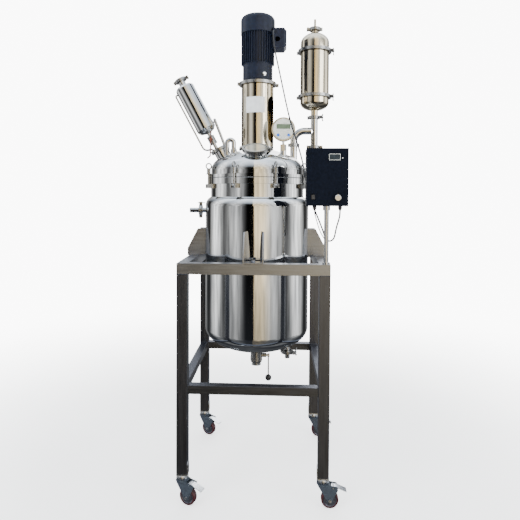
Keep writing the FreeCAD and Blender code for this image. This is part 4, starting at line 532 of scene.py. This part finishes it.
# Nodes of one material, with the width of their soft edges in metres
plain = {
    "jacket": (["mirrorSteel"], 0.0),
    "inner_vessel": (["mirrorSteel"], 0.001),
    "lid": (["mirrorSteel"], 0.001),
    "charging_cover": (["mirrorSteel"], 0.001),
    # Painted shade: the legs take a darker copy of the rail steel
    "frame_legs": (["shadedGroundTube"], 0.002),
    "top_rails": (["groundRail"], 0.002),
    # Painted shade: the lower rails take a darker copy of the rail steel
    "lower_rails": (["shadedGroundRail"], 0.002),
    "caster_brackets": (["zincPlate"], 0.0008),
    "flange_gasket": (["silicone"], 0.0),
    "bolt_lugs": (["castSteel"], 0.001),
    "support_lugs": (["groundRail"], 0.001),
    "pipe_clamps": (["castSteel"], 0.0008),
    "agitator_column": (["warmSteel"], 0.0006),
    "shaft_seal": (["brightSteel"], 0.0008),
    "agitator_shaft": (["brightSteel"], 0.0008),
    "impeller": (["brightSteel"], 0.0008),
    "output_gear": (["gearSteel"], 0.0),
    "layshaft": (["gearSteel"], 0.0),
    "motor_rotor": (["gearSteel"], 0.0),
    "gearbox_housing": (["motorPaint"], 0.001),
    "motor_housing": (["motorPaint"], 0.0006),
    "stator": (["copperCoil"], 0.0),
    "fan_cowl": (["motorPaint"], 0.0006),
    "terminal_box": (["motorPaint"], 0.001),
    "dosing_funnel": (["mirrorSteel"], 0.0005),
    "funnel_valve": (["castSteel"], 0.0008),
    "funnel_handle": (["brownRod"], 0.0),
    "gauge_button_left": (["blueButton"], 0.0006),
    "gauge_button_right": (["blueButton"], 0.0006),
    "pipework": (["brightSteel"], 0.0005),
    "reflux_column": (["warmSteel"], 0.0005),
    "speed_knob": (["brightSteel"], 0.0006),
    "power_switch": (["blackPlastic"], 0.0005),
    "control_post": (["brightSteel"], 0.0006),
    "discharge_valve": (["castSteel"], 0.0008),
}


# Each castor's place in millimetres and its turn in degrees
casters = {"front_left": (-325, -325, -20), "front_right": (325, -325, 0),
           "rear_left": (-325, 325, -24), "rear_right": (325, 325, 0)}
boltCount = 8
# Widths of the soft edges of the other nodes and of the scene's own pieces, in metres
soft = {"fork": 0.0006, "pedal": 0.0005, "wheel": 0.0005, "bolt": 0.0006, "gauge": 0.0006, "box": 0.0012,
        "handle": 0.0004, "trim": 0.0004}
# Solids of one node are told apart by these sizes and levels, in metres
parted = {"forkHeight": 0.05, "treadHeight": 0.07, "dialDepth": 0.01, "caseWidth": 0.1, "windowWidth": 0.03,
          "knobLevel": 0.49, "knobHeight": 0.05}


def dressPlain():
    for node, (names, bevel) in plain.items():
        dress(node, names, bevel)


def dressCasters():
    for corner in casters:
        dress("caster_fork_" + corner, ["forkPaint", "zincPlate"], soft["fork"],
              lambda middle, size: 0 if size.z > parted["forkHeight"] else 1)
        dress("brake_pedal_" + corner, ["zincPlate"], soft["pedal"])
        # The hub is smaller than the tread round it
        dress("caster_wheel_" + corner, ["urethane", "hubShell"], soft["wheel"],
              lambda middle, size: 0 if size.z > parted["treadHeight"] else 1)


def dressBolts():
    for number in range(1, boltCount + 1):
        dress("swing_bolt_" + str(number), ["castSteel"], soft["bolt"])


def dressMixed():
    # Dial face behind the case, and the nut with its probe
    dress("temperature_gauge", ["brightSteel", "dialEnamel"], soft["gauge"],
          lambda middle, size: 1 if size.y < parted["dialDepth"] else 0)
    # Case and plate painted, the window dark, the glands black
    dress("control_box", ["boxPaint", "displayDark", "blackPlastic"], soft["box"],
          lambda middle, size: 0 if size.x > parted["caseWidth"] else (1 if size.x > parted["windowWidth"] else 2))
    # The lever bright, its low knob black
    dress("discharge_handle", ["brightSteel", "blackPlastic"], soft["handle"],
          lambda middle, size: 1 if middle.z < parted["knobLevel"] and size.z < parted["knobHeight"] else 0)


def addRod(bm, start, end, radius, sides):
    # Closed cylinder between two points in metres
    span = end - start
    turn = span.to_track_quat("Z", "Y").to_matrix().to_4x4()
    place = Matrix.Translation((start + end) / 2) @ turn
    bmesh.ops.create_cone(bm, cap_ends=True, segments=sides, radius1=radius, radius2=radius,
                          depth=span.length, matrix=place)


def addBlock(bm, low, high):
    size = high - low
    place = Matrix.Translation((low + high) / 2) @ Matrix.Diagonal((size.x, size.y, size.z, 1))
    bmesh.ops.create_cube(bm, size=1.0, matrix=place)


def addRim(bm, window, rim, front, back):
    # Four bars round a window, all in millimetres
    left, right, low, high = window
    for x0, x1, z0, z1 in ((left - rim, right + rim, high, high + rim), (left - rim, right + rim, low - rim, low),
                           (left - rim, left, low, high), (right, right + rim, low, high)):
        addBlock(bm, millimetres(x0, front, z0), millimetres(x1, back, z1))


def buildDial():
    # Display window with its raised frame, on the thermometer's face
    dial = {"window": (101, 169, 1761.5, 1785.5), "face": -119.8, "rim": 2.2, "proud": 1.4, "sunk": 0.8}
    front = dial["face"] - dial["proud"]
    bm = bmesh.new()
    addRim(bm, dial["window"], dial["rim"], front, dial["face"])
    fit(finishMesh(bm, "dialFrame", ["dialEnamel"]), "frame", soft["trim"])
    left, right, low, high = dial["window"]
    bm = bmesh.new()
    addBlock(bm, millimetres(left, front + dial["sunk"], low), millimetres(right, dial["face"], high))
    fit(finishMesh(bm, "dialWindow", ["displayGlass"]), "frame")


def buildLabel():
    # Blank film label round the front of the column
    label = {"radius": 83.9, "middle": -96, "half": 35, "low": 1851, "high": 1931, "steps": 24, "film": 0.3}
    bm = bmesh.new()
    start = math.radians(label["middle"] - label["half"])
    x = label["radius"] * math.cos(start)
    y = label["radius"] * math.sin(start)
    low = bm.verts.new(millimetres(x, y, label["low"]))
    high = bm.verts.new(millimetres(x, y, label["high"]))
    edge = bm.edges.new((low, high))
    bmesh.ops.spin(bm, geom=[low, high, edge], cent=(0, 0, 0), axis=(0, 0, 1),
                   angle=math.radians(2 * label["half"]), steps=label["steps"])
    bmesh.ops.solidify(bm, geom=bm.faces[:], thickness=label["film"] / 1000)
    bmesh.ops.recalc_face_normals(bm, faces=bm.faces)
    fit(finishMesh(bm, "columnLabel", ["labelFilm"]), "frame")


def buildBezel():
    # Bright frame round the box's display, and the small lamp beside it
    bezel = {"window": (336, 383, 1588, 1613), "front": -388.4, "back": -387, "rim": 1.4}
    lamp = {"place": (394, 1596), "front": -388, "back": -384.5, "radius": 2.2, "sides": 20}
    bm = bmesh.new()
    addRim(bm, bezel["window"], bezel["rim"], bezel["front"], bezel["back"])
    x, z = lamp["place"]
    addRod(bm, millimetres(x, lamp["front"], z), millimetres(x, lamp["back"], z), lamp["radius"] / 1000,
           lamp["sides"])
    fit(finishMesh(bm, "displayFrame", ["dialEnamel"]), "frame", soft["trim"])


def buildWelds():
    # Ground weld beads where the tubes meet
    weld = {"radius": 1.6, "legReach": 325, "legHalf": 25, "joint": 1069, "railHalf": 20, "rail": 537, "face": 300,
            "sides": 8}
    corners = [(-1, -1), (1, -1), (1, 1), (-1, 1)]
    half = weld["legHalf"]
    small = weld["railHalf"]
    bm = bmesh.new()
    for sx in (-1, 1):
        for sy in (-1, 1):
            x = sx * weld["legReach"]
            y = sy * weld["legReach"]
            rings = [[(x + a * half, y + b * half, weld["joint"]) for a, b in corners],
                     [(sx * weld["face"], y + a * small, weld["rail"] + b * small) for a, b in corners],
                     [(x + a * small, sy * weld["face"], weld["rail"] + b * small) for a, b in corners]]
            for ring in rings:
                for one, two in zip(ring, ring[1:] + ring[:1]):
                    addRod(bm, millimetres(*one), millimetres(*two), weld["radius"] / 1000, weld["sides"])
    # The beads take the legs' darker copy of the steel, painted shade
    fit(finishMesh(bm, "weldBeads", ["shadedGroundTube"]), "frame")


def buildPlug():
    # Bright oil plug on the gearbox housing: a round collar and a hexagon
    plug = {"azimuth": -62, "radius": 77.0, "z": 2047, "size": 8.0, "proud": 9.0, "collarSize": 10.0,
            "collarProud": 3.6, "round": 32, "hexagon": 6}
    turn = math.radians(plug["azimuth"])
    out = Vector((math.cos(turn), math.sin(turn), 0))
    start = out * plug["radius"] + Vector((0, 0, plug["z"]))
    bm = bmesh.new()
    addRod(bm, start / 1000, (start + out * plug["collarProud"]) / 1000, plug["collarSize"] / 1000, plug["round"])
    addRod(bm, start / 1000, (start + out * plug["proud"]) / 1000, plug["size"] / 1000, plug["hexagon"])
    fit(finishMesh(bm, "oilPlug", ["brightSteel"]), "frame", soft["trim"])


def buildPedalRidges():
    # Pressed ridges across each brake pedal's tip
    ridge = {"along": (84, 91, 98), "half": 14, "radius": 1.0, "slope": 15 / 61, "tip": 107, "tipHeight": 83.2,
             "sides": 12}
    for corner, (x, y, yaw) in casters.items():
        bm = bmesh.new()
        turn = Matrix.Translation(millimetres(x, y, 0)) @ Matrix.Rotation(math.radians(yaw), 4, "Z")
        for along in ridge["along"]:
            height = ridge["tipHeight"] + (ridge["tip"] - along) * ridge["slope"]
            addRod(bm, turn @ millimetres(along, -ridge["half"], height),
                   turn @ millimetres(along, ridge["half"], height), ridge["radius"] / 1000, ridge["sides"])
        fit(finishMesh(bm, "pedalRidges_" + corner, ["zincPlate"]), "pedal_" + corner)


dressPlain()
dressCasters()
dressBolts()
dressMixed()
print("stage nodes dressed")
buildDial()
buildLabel()
buildBezel()
buildWelds()
buildPlug()
buildPedalRidges()
print("stage details built")
